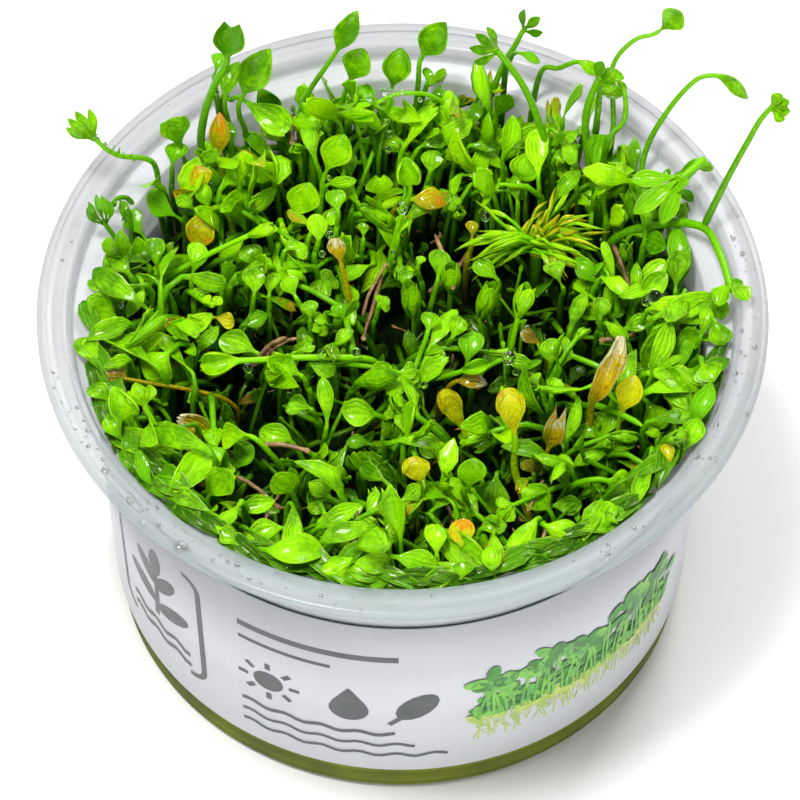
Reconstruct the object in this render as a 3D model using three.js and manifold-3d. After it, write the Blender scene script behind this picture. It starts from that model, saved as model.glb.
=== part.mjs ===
// Dwarf water clover grown as a dense cushion in a clear round culture cup without its lid.
// Millimetres, +Z up. The origin is the middle of the cup's underside, and -Y is the label's front.
import * as THREE from "three";
import Module from "manifold-3d";
import { mergeVertices } from "three/addons/utils/BufferGeometryUtils.js";

// Cup
const CUP_HEIGHT = 56.5;
const FLANGE_RADIUS = 47.5;
const FLANGE_INNER_RADIUS = 43.6;
const FLANGE_THICKNESS = 0.9;
const SKIRT_DROP = 1.3;
const SKIRT_THICKNESS = 0.8;
const LIP_RADIUS = 43.0;
const LIP_HEIGHT = 55.6;
const LEDGE_HEIGHT = 53.9;
const LEDGE_DROP = 0.6;
const WALL_TOP_RADIUS = 40.45;
const WALL_BASE_RADIUS = 38.25;
const WALL_TOP_HEIGHT = 52.5;
const WALL_THICKNESS = 0.8;
const FLOOR_THICKNESS = 1.0;
const BASE_CORNER = 0.8;
const ROUND_SEGMENTS = 44;

// Label sleeve
const LABEL_BOTTOM = 5.7;
const LABEL_TOP = 42.4;
const LABEL_THICKNESS = 0.2;

// Nutrient gel and the mat of short fronds
const CLEARANCE = 0.3;
const GEL_TOP = 9.0;
const MAT_CENTRE_HEIGHT = 39.5;
const MAT_EDGE_RISE = 3.0;
const MAT_FRONT_RISE = 0.06;
const MAT_SEGMENTS = 28;
const MAT_RING_SHARES = [1, 0.75, 0.5, 0.25];
const LOBE_COUNT = 42;
const LOBE_SIDES = 4;
const LOBE_RINGS = 4;
const LOBE_SPACING = 4.6;
const LOBE_TO_FROND = 4.2;
const LOBE_HALF_HEIGHT = 4.4;
const LOBE_HALF_WIDTH = 2.3;
const LOBE_HALF_DEPTH = 1.1;
const LOBE_TILT = 0.9;
const LOBE_LOWEST = 0.2;
const LOBE_SCATTER = 0.45;
const LOBE_TRIES = 1500;
const LOBE_SEED = 11;
const ROUTE_SAMPLES = 24;

// Fronds
const STALK_RADIUS = 0.62;
const STALK_SIDES = 4;
const FOOT_REACH = 36.5;
const FOOT_CLEARANCE = 0.45;
const HEAD_RINGS = 3;
const LEAFLET_SIDES = 4;
const LEAFLET_RINGS = 2;
const LEAFLET_WIDTH_SHARE = 0.9;
const LEAFLET_THICKNESS_SHARE = 0.6;
const LEAFLET_BOW = 0.2;
const NECK_WIDTH = 0.9;
const TIP_WIDTH = 0.22;
const LEAST_FACING = 0.3;
const FACE_NORMAL = new THREE.Vector3(0, -0.57, 0.82);

const GREEN = 0x55b312;
const DEEP_GREEN = 0x2f7d10;
const YELLOW_GREEN = 0x9cc414;
const YELLOW = 0xd8b21c;
const TAN = 0xb98a2a;
const BROWN = 0x6b3f22;

// Each head says where the blade is widest (0 to 1), how full it is, and its leaflets, if it is divided.
const HEADS = {
  spoon: { widest: 0.62, fullness: 0.75, thickness: 0.75, leaflets: 0 },
  oval: { widest: 0.5, fullness: 0.8, thickness: 0.8, leaflets: 0 },
  strap: { widest: 0.45, fullness: 0.7, thickness: 0.7, leaflets: 0 },
  club: { widest: 0.6, fullness: 0.6, thickness: 1.5, leaflets: 0 },
  cup: { widest: 0.6, fullness: 0.7, thickness: 0.7, leaflets: 3, spread: 0.42, cupping: 0.6 },
  fan: { widest: 0.55, fullness: 0.8, thickness: 0.6, leaflets: 4, spread: 0.62, cupping: 0 },
  pair: { widest: 0.55, fullness: 0.7, thickness: 0.7, leaflets: 2, spread: 0.4, cupping: 0 },
};

// Every tall frond: the points that its stalk passes, then the tip of its head.
// The stalk ends one point before the tip.
const FRONDS = [
  { name: "frond_outreaching", head: "fan", width: 1.5, tint: GREEN,
    route: [[-32.5, 20, 51], [-32.5, 21, 58], [-34, 20.5, 61], [-37.5, 19.5, 63], [-41, 20, 66],
      [-43.5, 21.5, 68.5]] },
  { name: "frond_tall_dark", head: "pair", width: 2.4, tint: DEEP_GREEN,
    route: [[-23.5, 25, 46], [-26.8, 27.5, 53], [-26.5, 28.5, 60], [-24.8, 29.5, 66], [-23.5, 30.5, 70],
      [-22.5, 32.5, 75.5]] },
  { name: "frond_back_left_leaf", head: "oval", width: 2.2, tint: GREEN,
    route: [[-21, 31, 52], [-22, 31, 57.5], [-21.5, 31, 62.5], [-18, 33, 69]] },
  { name: "frond_yellow_lean", head: "strap", width: 1.4, tint: TAN,
    route: [[-22.8, 22.5, 44], [-24, 24.8, 51], [-24.5, 25.8, 54.5], [-24.3, 28.3, 61]] },
  { name: "frond_ragged", head: "spoon", width: 3.0, tint: GREEN,
    route: [[-16.5, 31.5, 50], [-17, 32.3, 54], [-19, 33.4, 60]] },
  { name: "frond_square", head: "spoon", width: 2.4, tint: DEEP_GREEN,
    route: [[-28, 24.5, 49], [-29, 25.6, 55.5], [-31, 27.2, 61]] },
  { name: "frond_yellow_pair", head: "pair", width: 2.2, tint: YELLOW,
    route: [[-25.5, 18.5, 46], [-26.6, 20.2, 52], [-29.2, 22.2, 58]] },
  { name: "frond_yellow_fold", head: "spoon", width: 2.4, tint: YELLOW_GREEN,
    route: [[-22, 17, 43], [-22.8, 17.5, 50], [-25.2, 16.4, 52.5], [-28, 14, 50.5]] },
  { name: "frond_four_finger", head: "fan", width: 1.0, tint: DEEP_GREEN,
    route: [[-36, 9.5, 49], [-37.5, 11.5, 55], [-39, 12.5, 58.5], [-40.5, 13.2, 61.5]] },
  { name: "frond_three_lobe", head: "cup", width: 1.6, tint: GREEN,
    route: [[-37, 7, 47], [-36.4, 8.6, 55], [-36.5, 9.3, 59.5]] },
  { name: "frond_bright_rod", head: "oval", width: 1.9, tint: YELLOW_GREEN,
    route: [[-33, 9, 48], [-27, 10, 53], [-20.3, 11.5, 56.5], [-16.5, 11.5, 58.5]] },
  { name: "frond_pointed_back", head: "oval", width: 1.9, tint: GREEN,
    route: [[-14, 32.5, 49], [-13.6, 33.8, 56], [-10.2, 35, 63], [-8.8, 35.5, 66], [-6.4, 37, 72]] },
  { name: "frond_round_back", head: "spoon", width: 2.4, tint: GREEN,
    route: [[-8.8, 32.5, 48], [-8.3, 34.4, 55.5], [-7.4, 35, 59.5], [-5.2, 36, 65]] },
  { name: "frond_oval_back", head: "spoon", width: 2.2, tint: GREEN,
    route: [[-2.6, 30.5, 48], [-2.3, 32.8, 56.5], [-1.6, 34, 60], [-0.5, 35.6, 66]] },
  { name: "frond_tip_back", head: "oval", width: 2.2, tint: GREEN,
    route: [[1.5, 34, 51], [1.8, 36.2, 60], [2.2, 36.8, 63.5], [5.3, 37.6, 69]] },
  { name: "frond_arch_back", head: "cup", width: 1.6, tint: YELLOW_GREEN,
    route: [[5.9, 33, 47], [5.8, 33.6, 55], [2.8, 32.8, 59.5], [-1.3, 31.6, 61], [-4.4, 30.6, 59.5],
      [-6.2, 30, 55.5]] },
  { name: "frond_spiral", head: "spoon", width: 2.5, tint: YELLOW_GREEN,
    route: [[-11.2, 21.5, 45], [-10.9, 22.5, 51.5], [-10.5, 23, 55], [-7.9, 24.6, 61.5]] },
  { name: "frond_lean_left", head: "spoon", width: 2.5, tint: YELLOW_GREEN,
    route: [[-18, 15, 43], [-15.8, 16.8, 49], [-14.3, 17.5, 52], [-12.6, 19.4, 58]] },
  { name: "frond_heart", head: "oval", width: 2.4, tint: YELLOW_GREEN,
    route: [[-3.4, 18, 42], [-3.2, 19.5, 51.5], [-3.7, 20.8, 58]] },
  { name: "frond_ruffled_club", head: "club", width: 2.1, tint: YELLOW_GREEN,
    route: [[-1.9, 13, 43], [-1.5, 14.6, 50], [0.1, 16.4, 57], [0.8, 16.8, 60], [0.5, 18, 65.5]] },
  { name: "frond_four_leaflet", head: "fan", width: 1.2, tint: GREEN,
    route: [[19.3, 26, 47], [19.3, 26.6, 54], [16.2, 29.5, 64], [12.1, 31.4, 70.5], [8.1, 31, 73.5]] },
  { name: "frond_back_spray", head: "fan", width: 1.3, tint: DEEP_GREEN,
    route: [[10.5, 34.5, 51], [12.5, 36.3, 60], [14.1, 37, 64], [15.6, 38, 67], [17.8, 38, 70]] },
  { name: "frond_thick_stem", head: "cup", width: 1.7, tint: GREEN,
    route: [[25.3, 24, 44], [24.7, 25.6, 52], [23.8, 28, 61], [25.2, 29.5, 67], [28.2, 30, 69]] },
  { name: "frond_spoon_far", head: "spoon", width: 2.1, tint: GREEN,
    route: [[27, 25.5, 52], [27.6, 29, 60], [27.2, 32.8, 66], [30.2, 34.6, 69.5], [33, 35, 70.5],
      [36, 36.3, 73.5]] },
  { name: "frond_arch_right", head: "strap", width: 1.0, tint: GREEN,
    route: [[31, 20.5, 52], [32, 25.8, 58], [36.7, 29, 66], [40.6, 29.8, 68], [45.2, 29, 64.5]] },
  { name: "frond_far_right", head: "fan", width: 1.3, tint: GREEN, springs: true,
    route: [[39.9, 13.2, 59.4], [42.2, 15.8, 64.5], [45.4, 18.5, 71.5], [47.2, 19.5, 74.5], [50.2, 19, 76]] },
  { name: "runner_right", head: "pair", width: 1.9, stalk: 0.95, tint: GREEN,
    route: [[27.5, 16, 50], [33.5, 15.5, 54.5], [39, 12.8, 57.8], [41, 8.5, 58.6], [42.3, 3, 58.8],
      [42.8, -1.5, 57.8]] },
  { name: "frond_big_leaf_right", head: "oval", width: 2.9, tint: YELLOW_GREEN,
    route: [[32.5, 17, 50], [35.6, 18.6, 58], [39.4, 20.6, 62.2], [35.5, 18, 61], [30.4, 14.5, 58.5]] },
  { name: "frond_round_right", head: "oval", width: 2.4, tint: GREEN,
    route: [[36.6, -4, 48], [38.4, -6, 54.5], [38.6, -9.3, 57.8], [40, -12.2, 58]] },
  { name: "frond_big_pointed", head: "oval", width: 2.4, tint: GREEN,
    route: [[31, -6.2, 46], [31.5, -5.5, 50], [34.8, -2.8, 57]] },
  { name: "frond_tan_blade", head: "spoon", width: 2.3, tint: TAN,
    route: [[24.6, -13, 46], [24.5, -12.6, 53.5], [25.6, -10, 65]] },
  { name: "frond_tan_side", head: "spoon", width: 2.3, tint: YELLOW,
    route: [[28, -15.5, 46], [28.2, -14.2, 53], [30, -12.2, 59.5]] },
  { name: "frond_two_prong", head: "pair", width: 1.3, tint: TAN,
    route: [[16.8, -19.5, 45], [19, -18, 52], [20.5, -16.4, 59.5]] },
  { name: "frond_drooping", head: "spoon", width: 2.6, tint: GREEN,
    route: [[20.5, -23.5, 47], [22.8, -24.6, 53], [26.3, -25, 54], [29.8, -24, 50]] },
  { name: "frond_cup_left", head: "cup", width: 2.0, tint: GREEN,
    route: [[1.4, 3.5, 43], [1.5, 3.8, 48], [0.8, 5.2, 55.5]] },
  { name: "frond_cup_middle", head: "spoon", width: 2.5, tint: GREEN,
    route: [[6.3, 8, 43], [6.3, 8.2, 48], [6.2, 9.2, 54]] },
  { name: "frond_cup_right", head: "spoon", width: 2.6, tint: GREEN,
    route: [[10.6, 2.6, 43], [10.2, 4, 48.5], [11.8, 5.4, 55]] },
  { name: "frond_cup_tall", head: "cup", width: 2.0, tint: YELLOW_GREEN,
    route: [[13.6, -2.6, 43], [14.2, -3, 51.5], [14.9, -2, 57.5], [16.4, 0.2, 62]] },
  { name: "frond_yellow_tube", head: "club", width: 1.1, tint: YELLOW_GREEN,
    route: [[-6, 2.5, 42], [-6.9, 5, 51], [-8.1, 6.8, 56.5], [-8.7, 8.2, 60.5]] },
  { name: "frond_rod_front", head: "oval", width: 2.0, tint: YELLOW_GREEN,
    route: [[-3.2, -3.5, 49], [-9.3, -4.8, 52], [-20.8, -6.8, 54], [-26, -7.3, 53]] },
  { name: "frond_yellow_bud", head: "club", width: 1.6, tint: YELLOW,
    route: [[8.2, -15.3, 45], [7.7, -15, 51.5], [5.7, -13.8, 57.5]] },
  { name: "frond_tall_club", head: "club", width: 1.9, tint: YELLOW_GREEN,
    route: [[16.6, -24.5, 45], [14.6, -21, 52], [14.5, -19.8, 58.5], [13.6, -18, 64.5]] },
  { name: "frond_yellow_round", head: "spoon", width: 2.4, tint: YELLOW,
    route: [[2.5, -26, 46.5], [2.5, -25.8, 53.5], [1.6, -24.6, 58.5]] },
  { name: "frond_green_round", head: "spoon", width: 2.1, tint: GREEN,
    route: [[8.6, -26, 46.5], [8.7, -25.8, 53.5], [9, -24.7, 58.5]] },
  { name: "frond_mid_leaf", head: "oval", width: 2.0, tint: GREEN,
    route: [[-0.5, -11.5, 45], [-2.8, -12.2, 49.5], [-8, -12.3, 50.5]] },
  { name: "frond_ribbed", head: "club", width: 3.0, tint: GREEN,
    route: [[-26.5, -1.5, 47], [-28.5, -3.5, 53], [-30.2, -6, 54.5], [-33.2, -8.8, 52.5]] },
  { name: "frond_star_club", head: "cup", width: 1.4, tint: YELLOW_GREEN,
    route: [[-28.8, -22.4, 45], [-31, -18.6, 53], [-32.8, -16.4, 58], [-33.8, -14.8, 60.5]] },
  { name: "frond_orange_claw", head: "fan", width: 0.8, tint: TAN,
    route: [[-21.5, -8.8, 46], [-25.2, -9.3, 50], [-35.4, -11, 55.5], [-38, -10.4, 57]] },
  { name: "frond_tan_fringe", head: "club", width: 1.5, tint: TAN,
    route: [[-22.2, -15, 44], [-25, -15.6, 50], [-28.8, -15.9, 54]] },
  { name: "frond_left_bud", head: "club", width: 1.9, tint: YELLOW_GREEN,
    route: [[-32.4, -17.6, 48], [-34.6, -16.6, 54.5], [-36.6, -14.6, 59]] },
  { name: "frond_arched_leaf", head: "spoon", width: 2.0, tint: GREEN,
    route: [[-15, -18.8, 45.5], [-17, -19, 51], [-19.2, -18.4, 53.5], [-23, -17, 52]] },
  { name: "frond_front_disc", head: "spoon", width: 2.3, tint: GREEN,
    route: [[-13, -25, 45.5], [-14, -24.8, 50], [-15.6, -24.2, 54]] },
  { name: "frond_front_left", head: "spoon", width: 2.2, tint: GREEN,
    route: [[-23.6, -27.2, 45.5], [-24.8, -27, 51.5], [-21.8, -26.4, 58]] },
];

// Tuft of needle leaves: its heart, then how far the needles reach.
const TUFT_CENTRE = [17.5, 14.5, 51];
const TUFT_NEEDLES = 12;
const TUFT_REACH = 9.5;
const TUFT_NEEDLE_RADIUS = 0.5;
const TUFT_CORE_RADIUS = 1.6;
const TUFT_STALK_RADIUS = 1.0;
const TUFT_SIDES = 6;
const NEEDLE_RISES = [0.08, 0.55];
const NEEDLE_SHARES = [1, 0.75, 0.75];

// Dead stems lie across the cushion.
const DEAD_STEM_RADIUS = 0.5;
const DEAD_STEM_RINGS = 5;
const DEAD_STEMS = [
  { name: "dead_stem_back", route: [[2.5, 10.5, 44.5], [7, 13.5, 46.5], [9.5, 19, 45.5]] },
];

const MERGE_DISTANCE = 1e-4;

const wasm = await Module();
wasm.setup();

/** Closed geometry to a solid that can be joined and cut. */
function toSolid(geometry) {
  const bare = geometry.clone();
  bare.deleteAttribute("normal");
  bare.deleteAttribute("uv");
  const merged = mergeVertices(bare, MERGE_DISTANCE);
  return new wasm.Manifold(new wasm.Mesh({
    numProp: 3,
    vertProperties: Float32Array.from(merged.attributes.position.array),
    triVerts: Uint32Array.from(merged.index.array),
  }));
}

/** A solid back to a geometry. */
function toGeometry(solid) {
  const mesh = solid.getMesh();
  const geometry = new THREE.BufferGeometry();
  geometry.setAttribute("position", new THREE.BufferAttribute(Float32Array.from(mesh.vertProperties), 3));
  geometry.setIndex(new THREE.BufferAttribute(Uint32Array.from(mesh.triVerts), 1));
  return geometry;
}

/** Joins several closed geometries in one. */
function join(geometries) {
  return toGeometry(geometries.map(toSolid).reduce((whole, piece) => whole.add(piece)));
}

/** Repeatable numbers from 0 to 1, by the usual linear congruential rule. */
function randomFrom(seed) {
  const multiplier = 1664525;
  const step = 1013904223;
  const range = 2 ** 32;
  let state = seed;
  return () => {
    state = (state * multiplier + step) % range;
    return state / range;
  };
}

/** Outer radius of the cup's wall at a height. */
function wallRadius(height) {
  const share = height / WALL_TOP_HEIGHT;
  return WALL_BASE_RADIUS + (WALL_TOP_RADIUS - WALL_BASE_RADIUS) * share;
}

/** Height of the mat's top at a place. */
function matHeight(x, y) {
  const edge = Math.hypot(x, y) / WALL_BASE_RADIUS;
  return MAT_CENTRE_HEIGHT + MAT_EDGE_RISE * edge * edge - MAT_FRONT_RISE * y;
}

/** A ring or cup turned about Z from an outline of radius and height. */
function turned(outline, segments = ROUND_SEGMENTS) {
  const geometry = new THREE.LatheGeometry(outline.map(([r, z]) => new THREE.Vector2(r, z)), segments);
  return geometry.rotateX(Math.PI / 2);
}

/** The cup in one moulding: floor, wall, lid ledge, collar, flange and skirt. */
function cupGeometry() {
  const underFlange = CUP_HEIGHT - FLANGE_THICKNESS;
  const skirtBottom = CUP_HEIGHT - SKIRT_DROP;
  const collar = LIP_RADIUS + WALL_THICKNESS;
  const inside = (height) => wallRadius(height) - WALL_THICKNESS;
  const ledgeFoot = LEDGE_HEIGHT - LEDGE_DROP;
  return turned([
    [0, 0],
    [WALL_BASE_RADIUS - BASE_CORNER, 0],
    [wallRadius(BASE_CORNER), BASE_CORNER],
    [WALL_TOP_RADIUS, WALL_TOP_HEIGHT],
    [collar, ledgeFoot],
    [collar, underFlange],
    [FLANGE_RADIUS - SKIRT_THICKNESS, underFlange],
    [FLANGE_RADIUS - SKIRT_THICKNESS, skirtBottom],
    [FLANGE_RADIUS, skirtBottom],
    [FLANGE_RADIUS, CUP_HEIGHT],
    [FLANGE_INNER_RADIUS, CUP_HEIGHT],
    [LIP_RADIUS, LIP_HEIGHT],
    [LIP_RADIUS, LEDGE_HEIGHT],
    [inside(ledgeFoot), ledgeFoot],
    [inside(FLOOR_THICKNESS + BASE_CORNER), FLOOR_THICKNESS + BASE_CORNER],
    [inside(FLOOR_THICKNESS) - BASE_CORNER, FLOOR_THICKNESS],
    [0, FLOOR_THICKNESS],
  ]);
}

/** The label: a thin sleeve round the wall. */
function labelGeometry() {
  const inner = (height) => wallRadius(height) + CLEARANCE;
  const outer = (height) => inner(height) + LABEL_THICKNESS;
  return turned([
    [inner(LABEL_BOTTOM), LABEL_BOTTOM],
    [outer(LABEL_BOTTOM), LABEL_BOTTOM],
    [outer(LABEL_TOP), LABEL_TOP],
    [inner(LABEL_TOP), LABEL_TOP],
    [inner(LABEL_BOTTOM), LABEL_BOTTOM],
  ]);
}

/** The disc of gel on the cup's floor. */
function gelGeometry() {
  const bottom = FLOOR_THICKNESS + CLEARANCE;
  const radius = (height) => wallRadius(height) - WALL_THICKNESS - CLEARANCE;
  const corner = [radius(bottom) - BASE_CORNER, bottom];
  return turned([[0, bottom], corner, [radius(GEL_TOP), GEL_TOP], [0, GEL_TOP]]);
}

/** The points of a frond, from a foot on the mat unless it springs from the runner. */
function frondPoints(frond) {
  const points = frond.route.map((p) => new THREE.Vector3(...p));
  if (frond.springs) {
    return points;
  }
  const away = Math.hypot(points[0].x, points[0].y);
  const inward = Math.min(1, FOOT_REACH / away);
  const foot = new THREE.Vector3(points[0].x * inward, points[0].y * inward, 0);
  foot.z = matHeight(foot.x, foot.y) + FOOT_CLEARANCE;
  return [foot, ...points];
}

/** Bends an upright unit cylinder along a curve, with a half width and half thickness at each share of it. */
function bentTube({ curve, sides, rings, normal, halfWidth, halfThickness, place = (share) => share }) {
  const geometry = new THREE.CylinderGeometry(1, 1, 1, sides, rings);
  const position = geometry.attributes.position;
  for (let i = 0; i < position.count; i += 1) {
    const share = position.getY(i) + 0.5;
    const along = place(share);
    const centre = curve.getPoint(along);
    const tangent = curve.getTangent(along);
    const across = new THREE.Vector3().crossVectors(tangent, normal).normalize();
    const face = new THREE.Vector3().crossVectors(across, tangent);
    centre.addScaledVector(across, position.getX(i) * halfWidth(share));
    centre.addScaledVector(face, position.getZ(i) * halfThickness(share));
    position.setXYZ(i, centre.x, centre.y, centre.z);
  }
  return geometry;
}

/** Fullness of a blade at a share of its length, 0 at both ends and 1 where it is widest. */
function bladeProfile(share, head) {
  const warped = share ** (Math.log(0.5) / Math.log(head.widest));
  return Math.sin(Math.PI * Math.min(Math.max(warped, 0), 1)) ** head.fullness;
}

/** A normal for a blade, which faces up and to the front unless the stalk points that way itself. */
function bladeNormal(direction) {
  const normal = FACE_NORMAL.clone().addScaledVector(direction, -FACE_NORMAL.dot(direction));
  if (normal.length() < LEAST_FACING) {
    normal.set(1, 0, 0).addScaledVector(direction, -direction.x);
  }
  return normal.normalize();
}

/** A stalk that widens into one blade. */
function singleFrond(frond, head, points) {
  const curve = new THREE.CatmullRomCurve3(points, false, "catmullrom", 0.5);
  const stalkRings = points.length;
  const rings = stalkRings + HEAD_RINGS;
  const neck = (points.length - 2) / (points.length - 1);
  const stalk = frond.stalk ?? STALK_RADIUS;
  const split = stalkRings / rings;
  const place = (share) => (share <= split
    ? (share / split) * neck
    : neck + ((share - split) / (1 - split)) * (1 - neck));
  const headShare = (share) => (share - split) / (1 - split);
  const swell = (share, full, thin) => (share <= split
    ? stalk
    : thin + (full - thin) * bladeProfile(headShare(share), head));
  const direction = curve.getTangent((neck + 1) / 2);
  return bentTube({
    curve,
    sides: STALK_SIDES,
    rings,
    normal: bladeNormal(direction),
    place,
    halfWidth: (share) => swell(share, frond.width, share === 1 ? TIP_WIDTH : stalk * NECK_WIDTH),
    halfThickness: (share) => swell(share, Math.max(head.thickness, stalk), TIP_WIDTH),
  });
}

/** A stalk with two to four leaflets that spread from its end. */
function dividedFrond(frond, head, points) {
  const stem = points.slice(0, -1);
  const stalk = frond.stalk ?? STALK_RADIUS;
  const curve = new THREE.CatmullRomCurve3(stem, false, "catmullrom", 0.5);
  const end = stem[stem.length - 1];
  const reach = points[points.length - 1].clone().sub(end);
  const length = reach.length();
  const direction = reach.clone().normalize();
  const normal = bladeNormal(direction);
  const across = new THREE.Vector3().crossVectors(direction, normal).normalize();
  const leafletWidth = frond.width * LEAFLET_WIDTH_SHARE;
  const leafletThickness = head.thickness * LEAFLET_THICKNESS_SHARE;
  const pieces = [bentTube({
    curve,
    sides: STALK_SIDES,
    rings: stem.length + 1,
    normal: bladeNormal(curve.getTangent(1)),
    halfWidth: () => stalk,
    halfThickness: () => stalk,
  })];
  for (let i = 0; i < head.leaflets; i += 1) {
    const side = (2 * i) / (head.leaflets - 1) - 1;
    const lean = side * head.spread;
    const fold = head.cupping * (Math.abs(side) - 0.5);
    const aim = direction.clone().multiplyScalar(Math.cos(lean));
    aim.addScaledVector(across, Math.sin(lean));
    aim.addScaledVector(normal, fold);
    const start = end.clone().addScaledVector(direction, -stalk);
    const tip = end.clone().addScaledVector(aim.normalize(), length);
    const middle = start.clone().lerp(tip, 0.5).addScaledVector(normal, LEAFLET_BOW);
    pieces.push(bentTube({
      curve: new THREE.CatmullRomCurve3([start, middle, tip]),
      sides: LEAFLET_SIDES,
      rings: LEAFLET_RINGS,
      normal: bladeNormal(aim),
      halfWidth: (share) => TIP_WIDTH + leafletWidth * bladeProfile(share, head),
      halfThickness: (share) => TIP_WIDTH + leafletThickness * bladeProfile(share, head),
    }));
  }
  return join(pieces);
}

/** One frond, with the head that it names. */
function frondGeometry(frond) {
  const head = HEADS[frond.head];
  const points = frondPoints(frond);
  return head.leaflets ? dividedFrond(frond, head, points) : singleFrond(frond, head, points);
}

/** True where a lobe of the mat stands in no frond's way. */
function isFree(x, y, fronds) {
  return fronds.every((route) => {
    const curve = new THREE.CatmullRomCurve3(route, false, "catmullrom", 0.5);
    const samples = curve.getPoints(ROUTE_SAMPLES);
    return samples.every((p) => p.z > LIP_HEIGHT || Math.hypot(p.x - x, p.y - y) > LOBE_TO_FROND);
  });
}

/** The mat: a cushion of short fronds with the tallest of their leaves standing out of its top. */
function matGeometry(routes) {
  const bottom = GEL_TOP + CLEARANCE;
  const radius = (height) => wallRadius(height) - WALL_THICKNESS - 2 * CLEARANCE;
  const edge = MAT_CENTRE_HEIGHT + MAT_EDGE_RISE;
  const top = MAT_RING_SHARES.map((share) => [radius(edge) * share, edge]);
  const cushion = turned([[0, bottom], [radius(bottom), bottom], ...top, [0, edge]], MAT_SEGMENTS);
  const position = cushion.attributes.position;
  for (let i = 0; i < position.count; i += 1) {
    if (position.getZ(i) > edge - CLEARANCE) {
      position.setZ(i, matHeight(position.getX(i), position.getY(i)));
    }
  }
  const lobes = [];
  const taken = [];
  const random = randomFrom(LOBE_SEED);
  for (let tries = 0; lobes.length < LOBE_COUNT && tries < LOBE_TRIES; tries += 1) {
    const angle = random() * 2 * Math.PI;
    const away = (WALL_BASE_RADIUS - LOBE_SPACING) * Math.sqrt(random());
    const x = Math.cos(angle) * away;
    const y = Math.sin(angle) * away;
    const lone = taken.every(([a, b]) => Math.hypot(a - x, b - y) > LOBE_SPACING);
    if (lone && isFree(x, y, routes)) {
      const lobe = new THREE.SphereGeometry(1, LOBE_SIDES, LOBE_RINGS);
      lobe.scale(LOBE_HALF_WIDTH, LOBE_HALF_DEPTH, LOBE_HALF_HEIGHT);
      lobe.rotateX((random() - 0.5) * LOBE_TILT);
      lobe.rotateZ(random() * Math.PI);
      lobe.translate(x, y, matHeight(x, y) + LOBE_HALF_HEIGHT * (LOBE_LOWEST + LOBE_SCATTER * random()));
      lobes.push(lobe);
      taken.push([x, y]);
    }
  }
  return join([cushion, ...lobes]);
}

/** The tuft's foot on the mat and its heart. */
function tuftPoints() {
  const centre = new THREE.Vector3(...TUFT_CENTRE);
  const foot = new THREE.Vector3(centre.x, centre.y, matHeight(centre.x, centre.y) + FOOT_CLEARANCE);
  return [foot, centre];
}

/** Needles that spread from one heart, on a short stalk. */
function tuftGeometry() {
  const [foot, centre] = tuftPoints();
  const core = new THREE.SphereGeometry(TUFT_CORE_RADIUS, TUFT_SIDES, LEAFLET_SIDES);
  core.translate(centre.x, centre.y, centre.z);
  const stalk = new THREE.CylinderGeometry(TUFT_STALK_RADIUS, TUFT_STALK_RADIUS, centre.z - foot.z, TUFT_SIDES);
  stalk.rotateX(Math.PI / 2).translate(centre.x, centre.y, (centre.z + foot.z) / 2);
  const pieces = [core, stalk];
  for (let i = 0; i < TUFT_NEEDLES; i += 1) {
    const turn = (i / TUFT_NEEDLES) * 2 * Math.PI;
    const rise = NEEDLE_RISES[i % NEEDLE_RISES.length];
    const reach = TUFT_REACH * NEEDLE_SHARES[i % NEEDLE_SHARES.length];
    const aim = new THREE.Vector3(Math.cos(turn), Math.sin(turn), Math.tan(rise)).normalize();
    const needle = new THREE.ConeGeometry(TUFT_NEEDLE_RADIUS, reach, STALK_SIDES);
    needle.translate(0, reach / 2, 0);
    needle.applyQuaternion(new THREE.Quaternion().setFromUnitVectors(new THREE.Vector3(0, 1, 0), aim));
    needle.translate(centre.x, centre.y, centre.z);
    pieces.push(needle);
  }
  return join(pieces);
}

/** The points that a dead stem passes. */
function stemPoints(stem) {
  return stem.route.map((p) => new THREE.Vector3(...p));
}

/** A dead stem. */
function stemGeometry(stem) {
  return bentTube({
    curve: new THREE.CatmullRomCurve3(stemPoints(stem)),
    sides: STALK_SIDES,
    rings: DEAD_STEM_RINGS,
    normal: FACE_NORMAL,
    halfWidth: () => DEAD_STEM_RADIUS,
    halfThickness: () => DEAD_STEM_RADIUS,
  });
}

/** The routes of everything that stands on the mat or lies over it. */
function standingRoutes() {
  return [...FRONDS.map(frondPoints), tuftPoints(), ...DEAD_STEMS.map(stemPoints)];
}

const plasticFinish = new THREE.MeshStandardMaterial({
  color: 0xe4e8ec, roughness: 0.15, metalness: 0, transparent: true, opacity: 0.35,
});
const labelFinish = new THREE.MeshStandardMaterial({ color: 0xf1f3f4, roughness: 0.45, metalness: 0 });
const gelFinish = new THREE.MeshStandardMaterial({ color: 0x8f9a4a, roughness: 0.3, metalness: 0 });

/** Leaf finish of one tint. */
function leafFinish(tint) {
  return new THREE.MeshStandardMaterial({ color: tint, roughness: 0.4, metalness: 0 });
}

const part = new THREE.Group();

/** Adds one named sub-part. */
function add(name, geometry, finish) {
  const mesh = new THREE.Mesh(geometry, finish);
  mesh.name = name;
  part.add(mesh);
}

add("cup", cupGeometry(), plasticFinish);
add("label", labelGeometry(), labelFinish);
add("nutrient_gel", gelGeometry(), gelFinish);
add("undergrowth", matGeometry(standingRoutes()), leafFinish(DEEP_GREEN));
FRONDS.forEach((frond) => add(frond.name, frondGeometry(frond), leafFinish(frond.tint)));
add("needle_tuft", tuftGeometry(), leafFinish(YELLOW_GREEN));
DEAD_STEMS.forEach((stem) => add(stem.name, stemGeometry(stem), leafFinish(BROWN)));

export default part;
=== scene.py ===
"""Dwarf water clover grown as a dense cushion in a clear round culture cup.

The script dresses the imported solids. It rebuilds the cup, label, gel, cushion and fronds as finished
meshes, gives each piece its material, and sets the floor, the light and the camera. The plants are laid
out in millimetres and written to Blender in metres.
"""

from __future__ import annotations

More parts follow.
